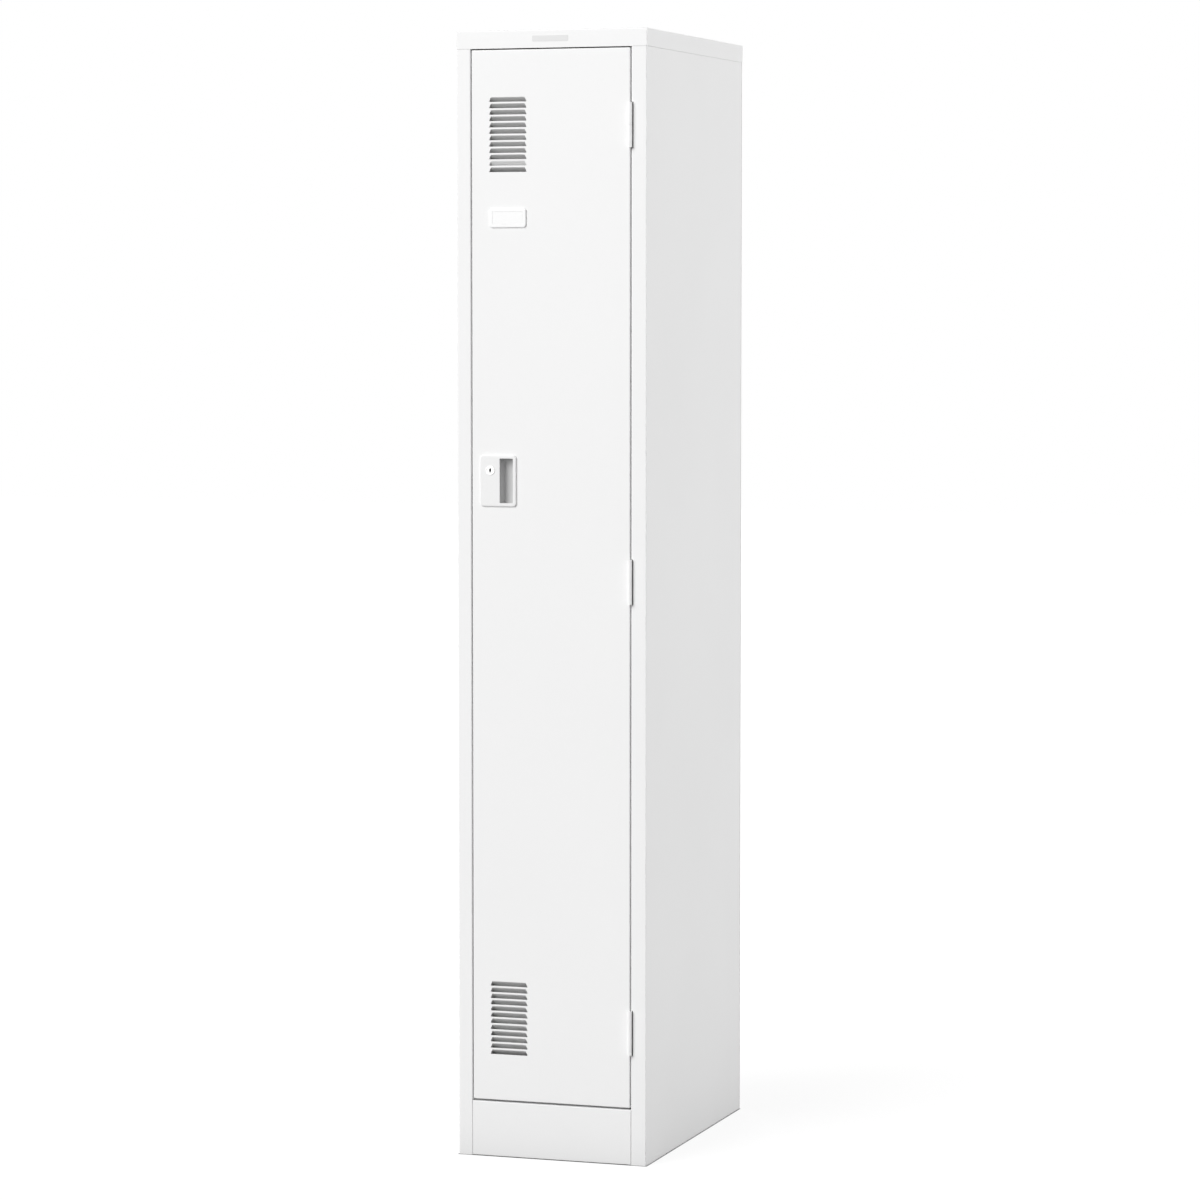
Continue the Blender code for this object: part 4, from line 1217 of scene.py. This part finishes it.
@dataclass
class Door:
    """The door: its louvred pan, the stiffener inside, and the hinges."""

    rows: RowTree
    louvre: Louvre = field(default_factory=Louvre)
    sheet: float = 0.8 * MM
    lip: float = 22 * MM
    border: float = 10 * MM
    louvre_count: int = 12
    louvre_pitch: float = 10 * MM
    louvre_side: float = 29.5 * MM
    louvre_end: float = 74 * MM
    shelf_row: int = 10
    shelf_depth: float = 0.55
    cutout_inset: float = 3.4 * MM
    cutout_corner: float = 2 * MM
    weld: SpotWeld = field(default_factory=SpotWeld)
    weld_inset: Flat = (6.5 * MM, 70 * MM)
    weld_count: int = 12

    def build(self) -> None:
        """Builds and dresses the door."""
        install("louvred_pan", self.pan(), Body.DOOR, PAINT, "door_panel")
        dress(PAINT, "door_stiffener")
        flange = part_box("door_stiffener")[0].y + self.sheet
        marks = self.weld.columns(self.rows, "door_stiffener", flange, self.weld_inset, self.weld_count)
        install("stiffener_weld_marks", marks, Body.DOOR, PAINT)
        for place in PLACES:
            refine(PAINT, Body.CARCASS, f"hinge_frame_leaf_{place}", f"hinge_pin_{place}")
            refine(PAINT, Body.DOOR, f"hinge_door_leaf_{place}")

    def louvre_rows(self) -> list[tuple[float, float, int]]:
        """Works out where the louvre blocks are.

        Returns:
            For each block the X of its middle, the Z of its top, and the row in front of the shelf or -1.
        """
        low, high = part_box("door_panel")
        block = (self.louvre_count - 1) * self.louvre_pitch + self.louvre.height
        middle = low.x + self.louvre_side + self.louvre.length / 2
        upper = (middle, high.z - self.louvre_end, self.shelf_row)
        lower = (middle, low.z + self.louvre_end + block, -1)
        return [upper, lower]

    def pan(self) -> bpy.types.Mesh:
        """Folds the pan with its two louvre blocks.

        Returns:
            The closed, shaded mesh.
        """
        low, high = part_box("door_panel")
        xs = (low.x, low.x + self.border, low.x + self.lip, high.x - self.lip, high.x - self.border, high.x)
        zs = (low.z, low.z + self.border, low.z + self.lip, high.z - self.lip, high.z - self.border, high.z)
        deep = (low.y, high.y)
        pan = FoldedSheet()
        pan.panel(xs, low.y, zs, (0, -1, 0), {(column, row) for column in range(1, 4) for row in range(1, 4)})
        pan.panel(xs, high.y, zs, (0, 1, 0), {(2, 2)})
        pan.panel(low.x, deep, zs, (-1, 0, 0))
        pan.panel(high.x, deep, zs, (1, 0, 0))
        pan.panel(xs, deep, low.z, (0, 0, -1))
        pan.panel(xs, deep, high.z, (0, 0, 1))
        rim = [(x, zs[1]) for x in xs[1:4]] + [(xs[4], z) for z in zs[1:4]]
        rim += [(x, zs[4]) for x in xs[4:1:-1]] + [(xs[1], z) for z in zs[4:1:-1]]
        case_low, case_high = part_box("lock_case")
        holes = [front_outline(case_low, case_high, self.cutout_inset, self.cutout_corner, 3)]
        blocks = []
        for middle, top, shallow in self.louvre_rows():
            for index in range(self.louvre_count):
                up = top - index * self.louvre_pitch
                holes.append([(middle + x, up + z) for x, z in self.louvre.rim()])
            blocks.append(self.rows.row(self.louvre.scoop(), self.louvre_count, (middle, low.y, top),
                                        (0.0, 0.0, -self.louvre_pitch), PAINT, shallow, self.shelf_depth))
        pan.pierced(rim, holes, low.y)
        for block in blocks:
            pan.weld(block)
        return pan.folded(self.sheet)


@dataclass
class LockSet:
    """The lock case with its finger pull, the barrel, the key plug and the cam behind the door."""

    corner: float = 5.5 * MM
    edge: float = 1.8 * MM
    cup_wall: float = 1.8 * MM
    lip: float = 3.4 * MM
    run: float = 0.5 * MM
    pull_width: float = 22 * MM
    pull_depth: float = 18 * MM
    pull_corner: float = 1.5 * MM
    pull_draft: float = 1.5 * MM
    pull_edge: float = 0.4 * MM
    pull_fillet: float = 1.0 * MM
    keyhole_height: float = 8 * MM
    keyhole_width: float = 3.2 * MM
    keyhole_depth: float = 9 * MM
    shank: float = 6.5 * MM
    plug_radius: float = 4.8 * MM
    plug_head: float = 1 * MM
    plug_edge: float = 0.3 * MM
    tail: float = 5.4 * MM
    tail_length: float = 2.6 * MM
    tail_corner: float = 0.4 * MM
    drill_slack: float = 0.2 * MM
    rim_chamfer: Flat = (0.5 * MM, 0.35 * MM)
    rim_depth: float = 1.3 * MM

    def build(self) -> None:
        """Builds and dresses the lock."""
        self.case()
        self.barrel()
        self.plug()
        dress(ZINC, "lock_back_plate")
        refine(ZINC, Body.DOOR, "lock_nut")
        refine(ZINC, Body.LOCK, "lock_cam", "cam_screw")

    def case(self) -> None:
        """The moulded case, from the back of its cup round the bezel to the bottom of the pull."""
        low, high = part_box("lock_case")
        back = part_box("door_panel")[0].y
        border = self.lip + self.run + self.cup_wall
        right, bottom, top = high.x - border, low.z + border, high.z - border
        left = right - self.pull_width

        def pull(grow: float) -> list[Flat]:
            """The pull's outline, grown by a margin; its lower wall has no draft."""
            out = max(grow, 0.0)
            return rounded(left - grow, right + grow, bottom - out, top + grow, self.pull_corner + out)

        def bezel(inset: float) -> list[Flat]:
            """The bezel's outline, drawn in by an inset."""
            return front_outline(low, high, inset, self.corner - inset / 2)

        floor = low.y + self.pull_depth
        # The cup's faces take the light grey finish: partly the cup's own colour, partly painted shade in the
        # hollow.
        bezel_finish, cup_shade_finish = 0, 1
        shape = LoopStack(Axis.Y, CASE_PLASTIC, CUP_PLASTIC_WITH_PAINTED_SHADE)
        shape.ring(pull(self.cup_wall - self.pull_draft), high.y, cup_shade_finish)
        shape.ring(pull(self.cup_wall), back, cup_shade_finish)
        shape.ring(bezel(0.0), back, bezel_finish)
        for inset, drop in edge_levels(self.edge):
            shape.ring(bezel(inset), low.y + drop, bezel_finish)
        for inset, drop in reversed(edge_levels(self.pull_edge)):
            shape.ring(pull(inset), low.y + drop, bezel_finish)
        fillet = self.pull_fillet
        shape.ring(pull(-self.pull_draft * (1 - fillet / self.pull_depth)), floor - fillet, cup_shade_finish)
        for inset, drop in edge_levels(fillet)[1:]:
            shape.ring(pull(-self.pull_draft - inset), floor - drop, cup_shade_finish)
        hole = self.shank + self.drill_slack
        drill = lathe([(0.0, low.y - MM), (hole, low.y - MM), (hole, back + MM), (0.0, back + MM)], Axis.Y,
                      self.key_axis())
        case = shaded(cut(shape.mesh(), drill), Crease.PRESSED)
        install("moulded_lock_case", case, Body.DOOR, CASE_PLASTIC, "lock_case")

    def barrel(self) -> None:
        """The barrel's rim round the key plug, and its body behind the door."""
        low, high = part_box("lock_barrel")
        rim = (high.x - low.x) / 2
        socket = (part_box("key_plug")[1].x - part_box("key_plug")[0].x) / 2 + GAP
        bore = self.plug_radius + GAP
        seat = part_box("lock_case")[0].y - GAP
        chamfer, drop = self.rim_chamfer
        step = low.y + self.rim_depth
        profile = [(bore, high.y), (self.shank, high.y), (self.shank, seat), (rim, seat), (rim, low.y + drop),
                   (rim - chamfer, low.y), (socket, low.y), (socket, step), (bore, step), (bore, high.y)]
        barrel = lathe(profile, Axis.Y, self.key_axis(), steps=64)
        install("turned_barrel", barrel, Body.DOOR, self.turned(), "lock_barrel")

    def plug(self) -> None:
        """The key plug's face with its keyhole, and its square tail."""
        low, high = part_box("key_plug")
        x, _, z = self.key_axis()
        head = (high.x - low.x) / 2
        # The keyhole's walls and floor take the near-black finish, painted shade for the slot's depth.
        keyway_painted_shade = 1
        shape = LoopStack(Axis.Y, self.turned(), KEYWAY_PAINTED_SHADE)
        half = self.tail / 2
        tail = rounded(x - half, x + half, z - half, z + half, self.tail_corner)
        slot = [(x + self.keyhole_width / 2 * across * abs(across) ** 0.5, z + self.keyhole_height / 2 * up)
                for across, up in disc((0.0, 0.0), 1.0)]
        shape.ring(tail, high.y)
        shape.ring(tail, high.y - self.tail_length)
        shape.ring(disc((x, z), self.plug_radius), high.y - self.tail_length)
        shape.ring(disc((x, z), self.plug_radius), low.y + self.plug_head)
        shape.ring(disc((x, z), head), low.y + self.plug_head)
        for inset, drop in edge_levels(self.plug_edge, 2):
            shape.ring(disc((x, z), head - inset), low.y + drop)
        shape.ring(slot, low.y)
        shape.ring(slot, low.y + self.keyhole_depth, keyway_painted_shade)
        install("turned_key_plug", shape.mesh(), Body.LOCK, self.turned(), "key_plug")

    def key_axis(self) -> Place:
        """A point on the axis that the key turns about."""
        low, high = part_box("lock_barrel")
        return ((low.x + high.x) / 2, 0.0, (low.z + high.z) / 2)

    def turned(self) -> Turned:
        """Nickel plated on turned brass: a pale metal whose fine rings draw the highlight out."""
        return Turned("turned satin nickel plate", Slot.NICKEL, "#F6F6F5", 0.26, centre=self.key_axis())


@dataclass
class CardHolder:
    """The moulded card holder and its blank card."""

    corner: float = 5 * MM
    edge: float = 1.8 * MM
    border: float = 5.5 * MM
    window_corner: float = 1.2 * MM
    window_edge: float = 0.25 * MM
    face: float = 0.7 * MM
    card: float = 0.5 * MM
    card_slack: float = 0.2 * MM

    def build(self) -> None:
        """Builds the holder and the card."""
        low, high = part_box("card_holder")

        def frame_outline(inset: float) -> list[Flat]:
            """The holder's outline, drawn in by an inset."""
            return front_outline(low, high, inset, self.corner - inset / 2)

        def window(grow: float) -> list[Flat]:
            """The window's outline, grown by a margin."""
            return front_outline(low, high, self.border - grow, self.window_corner)

        holder = LoopStack(Axis.Y)
        holder.ring(frame_outline(0.0), high.y)
        for inset, drop in edge_levels(self.edge):
            holder.ring(frame_outline(inset), low.y + drop)
        for inset, drop in reversed(edge_levels(self.window_edge, 3)):
            holder.ring(window(inset), low.y + drop)
        holder.ring(window(0.0), low.y + self.face)
        install("moulded_card_holder", holder.mesh(Crease.PRESSED), Body.DOOR, HOLDER_PLASTIC, "card_holder")
        card = LoopStack(Axis.Y)
        back = low.y + self.face
        for level in (back, back - self.card):
            card.ring(window(-self.card_slack), level)
        install("blank_card", card.mesh(), Body.DOOR, CARD, "name_card")


@dataclass
class DoorFittings:
    """The mirror, its clips and the towel bar on the inside of the door."""

    rows: RowTree
    corner: float = 6 * MM
    bevel: float = 7 * MM
    bevel_drop: float = 0.9 * MM
    clip_sheet: float = 0.8 * MM
    screw_head: float = 2.8 * MM
    screw_height: float = 1.5 * MM
    screw_inset: float = 6 * MM
    screw_profile: tuple[Flat, ...] = ((1.0, 0.4), (0.7, 0.9), (0.25, 1.0), (0.22, 0.4), (0.0, 0.4))
    wire: float = 2.5 * MM
    wire_bend: float = 9 * MM

    def build(self) -> None:
        """Builds and dresses the fittings."""
        self.mirror()
        refine(NICKEL, Body.DOOR, "mirror_clip_upper", "mirror_clip_lower")
        self.clip_screws()
        self.towel_bar()

    def mirror(self) -> None:
        """The mirror with its ground bevel; only the edge shows the glass's own colour."""
        low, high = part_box("mirror")
        shape = LoopStack(Axis.Y)
        for inset, level in ((0.0, low.y), (0.0, high.y - self.bevel_drop), (self.bevel, high.y)):
            shape.ring(front_outline(low, high, inset, self.corner), level)
        mesh = shape.mesh(Crease.GROUND)
        for finish in (SILVERED, GLASS_EDGE):
            mesh.materials.append(finish.material())
        silver, edge = 0, 1
        for face in mesh.polygons:
            face.material_index = edge if abs(face.normal.y) < 0.5 else silver
        install("bevelled_mirror", mesh, Body.DOOR, SILVERED, "mirror")

    def clip_screws(self) -> None:
        """A pan-head screw through each clip's leg."""
        low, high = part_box("mirror_clip_upper")
        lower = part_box("mirror_clip_lower")
        leg = low.y + self.clip_sheet
        profile = [(0.0, -GAP), (self.screw_head, -GAP)]
        profile += [(self.screw_head * out, self.screw_height * up) for out, up in self.screw_profile]
        screw = lathe(profile, Axis.Y, (0.0, 0.0, 0.0), steps=24)
        top = high.z - self.screw_inset
        bottom = lower[0].z + self.screw_inset
        screws = self.rows.row(screw, 2, ((low.x + high.x) / 2, leg, top), (0.0, 0.0, bottom - top), ZINC)
        install("clip_screws", screws, Body.DOOR, ZINC)

    def towel_bar(self) -> None:
        """The wire rail between the door's upright lips."""
        low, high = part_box("towel_bar")
        left, right = low.x + self.wire, high.x - self.wire
        level = (low.z + high.z) / 2
        out = high.y - self.wire
        route = [(left, low.y, level), (left, out, level), (right, out, level), (right, low.y, level)]
        rail = rod_along(route, self.wire, self.wire_bend)
        install("plated_towel_bar", rail, Body.DOOR, CHROME, "towel_bar")


@dataclass(frozen=True)
class Lamp:
    """A soft box."""

    name: str
    position: Place
    target: Place
    size: Flat
    power: float

    def build(self) -> None:
        """Hangs the lamp."""
        light = bpy.data.lights.new(self.name, "AREA")
        light.shape = "RECTANGLE"
        light.size, light.size_y = self.size
        light.energy = self.power
        lamp = placed(self.name, light)
        lamp.location = self.position
        aim = Vector(self.target) - Vector(self.position)
        lamp.rotation_euler = aim.to_track_quat("-Z", "Y").to_euler()


@dataclass
class Studio:
    """A white floor, soft light from the front left, and the photograph's camera."""

    lamps: tuple[Lamp, ...] = (
        Lamp("key", (-16.3, -28.3, 18.4), (0.0, 0.0, 1.0), (26.0, 26.0), 14200.0),
        Lamp("side fill", (8.0, 1.0, 3.4), (0.0, 0.0, 1.0), (3.0, 3.0), 372.0),
        Lamp("rear fill", (-3.0, 8.5, 1.4), (0.0, 0.0, 1.0), (3.0, 3.0), 345.0),
    )
    ambient: float = 0.28
    floor_reach: float = 20.0
    floor_drop: float = 0.3 * MM
    floor_colour: str = "#929292"
    # Painted shade on the floor: its dark colour at the locker's foot, how far it reaches, and the width of a
    # painted contact line.
    painted_contact_shade: str = "#161616"
    painted_shade_reach: float = 0.12
    painted_shadow_line_width: float = 3 * MM
    floor_seen: str = "#F0F0F0"
    floor_share: float = 0.76
    floor_glow: float = 1.08
    shadow_reach: float = 1.6
    camera_position: Place = (2.2393, -6.6592, 1.3725)
    camera_yaw: float = 18.632
    camera_pitch: float = 4.029
    camera_reach: float = 200.0
    lens: float = 129.109
    sensor: float = 36.0

    def build(self) -> None:
        """Builds the stage."""
        bpy.context.scene.view_settings.view_transform = "Standard"
        self.floor()
        self.world()
        for lamp in self.lamps:
            lamp.build()
        self.camera()

    def floor(self) -> None:
        """A wide floor that looks white and keeps the locker's shadow; where the locker stands and round its
        foot it is darkened with painted shade.
        """
        shape = bmesh.new()
        bmesh.ops.create_grid(shape, x_segments=1, y_segments=1, size=self.floor_reach)
        floor = placed("floor", drawn(shape, closed=False))
        floor.location.z = -self.floor_drop
        floor.data.materials.append(self.floor_material())

    def floor_material(self) -> bpy.types.Material:
        """Makes the floor's material, which lights the locker less than it shows and carries painted shade
        near the locker's foot.

        Returns:
            The material.
        """
        material = bpy.data.materials.new("white floor")
        material.use_nodes = True
        tree = material.node_tree
        tree.nodes.clear()
        away = self.distance_from_locker(tree)
        # Painted shade: the floor's bounce colour darkens towards the locker's foot, standing in for the
        # shade beside it.
        near = add_node(tree, "ShaderNodeMapRange", {"Value": away, "From Max": self.painted_shade_reach})
        tone = blend(tree, near.outputs["Result"], self.painted_contact_shade, self.floor_colour)
        matt = add_node(tree, "ShaderNodeBsdfDiffuse", {"Color": tone})
        pale = add_node(tree, "ShaderNodeBsdfDiffuse", {"Color": linear(self.floor_seen)})
        glow = add_node(tree, "ShaderNodeEmission", {"Strength": self.floor_glow})
        share = add_node(tree, "ShaderNodeMapRange", {"Value": away, "From Max": self.shadow_reach,
                                                      "To Min": self.floor_share})
        open_floor = add_node(tree, "ShaderNodeMixShader",
                              {0: share.outputs["Result"], 1: pale.outputs[0], 2: glow.outputs[0]})
        # Painted shadow: seen rays show a thin dark line of the darkened matt round the locker's foot.
        line = add_node(tree, "ShaderNodeMapRange", {"Value": away, "From Max": self.painted_shadow_line_width})
        shown = add_node(tree, "ShaderNodeMixShader",
                         {0: line.outputs["Result"], 1: matt.outputs[0], 2: open_floor.outputs[0]})
        mix = add_node(tree, "ShaderNodeMixShader",
                       {0: self.seen_rays(tree), 1: matt.outputs[0], 2: shown.outputs[0]})
        add_node(tree, "ShaderNodeOutputMaterial", {"Surface": mix.outputs[0]})
        return material

    def distance_from_locker(self, tree: bpy.types.NodeTree) -> bpy.types.NodeSocket:
        """Wires how far a point of the floor is from the locker's foot.

        Args:
            tree: the floor's material tree.

        Returns:
            The distance in metres, which is 0 under the locker.
        """
        low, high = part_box("left_side_panel")[0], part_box("right_side_panel")[1]
        place = add_node(tree, "ShaderNodeTexCoord").outputs["Object"]
        offset = add_node(tree, "ShaderNodeVectorMath", {0: place, 1: (low + high) / 2}, operation="SUBTRACT")
        spread = add_node(tree, "ShaderNodeVectorMath", {0: offset.outputs[0]}, operation="ABSOLUTE")
        beyond = add_node(tree, "ShaderNodeVectorMath", {0: spread.outputs[0], 1: (high - low) / 2},
                          operation="SUBTRACT")
        outside = add_node(tree, "ShaderNodeVectorMath", {0: beyond.outputs[0], 1: (0.0, 0.0, 0.0)},
                           operation="MAXIMUM")
        distance = add_node(tree, "ShaderNodeVectorMath", {0: outside.outputs[0]}, operation="LENGTH")
        return distance.outputs["Value"]

    def world(self) -> None:
        """Soft light from all round, with a white background where it is seen."""
        world = bpy.data.worlds.new("studio")
        bpy.context.scene.world = world
        world.use_nodes = True
        tree = world.node_tree
        tree.nodes.clear()
        light = add_node(tree, "ShaderNodeBackground", {"Strength": self.ambient})
        white = add_node(tree, "ShaderNodeBackground", {"Strength": 1.0})
        for shader in (light, white):
            shader.inputs["Color"].default_value = (1.0, 1.0, 1.0, 1.0)
        mix = add_node(tree, "ShaderNodeMixShader",
                       {0: self.seen_rays(tree), 1: light.outputs[0], 2: white.outputs[0]})
        add_node(tree, "ShaderNodeOutputWorld", {"Surface": mix.outputs[0]})

    def seen_rays(self, tree: bpy.types.NodeTree) -> bpy.types.NodeSocket:
        """Wires what kind of ray is looking.

        Args:
            tree: the floor's or the world's tree.

        Returns:
            1 for a ray that is seen, directly or in metal or glass, and 0 for one that lights.
        """
        rays = add_node(tree, "ShaderNodeLightPath").outputs
        seen = rays["Is Camera Ray"]
        for kind in ("Is Glossy Ray", "Is Transmission Ray"):
            seen = add_node(tree, "ShaderNodeMath", {0: seen, 1: rays[kind]}, operation="MAXIMUM").outputs[0]
        return seen

    def camera(self) -> None:
        """The photograph's camera: to the right, at chest height, tilted a little down."""
        lens = bpy.data.cameras.new("camera")
        lens.lens = self.lens
        lens.sensor_width = self.sensor
        lens.clip_end = self.camera_reach
        camera = placed("camera", lens)
        camera.location = self.camera_position
        camera.rotation_euler = (math.radians(90 - self.camera_pitch), 0.0, math.radians(self.camera_yaw))
        bpy.context.scene.camera = camera


def main() -> None:
    """Builds the studio and the locker's sub-assemblies."""
    logging.basicConfig(level=logging.INFO, format="%(name)s %(message)s")
    rows = RowTree()
    for assembly in (Studio(), Carcass(rows), Interior(), Door(rows), LockSet(), CardHolder(),
                     DoorFittings(rows)):
        LOG.info("building %s", type(assembly).__name__)
        assembly.build()


if __name__ == "__main__":
    main()
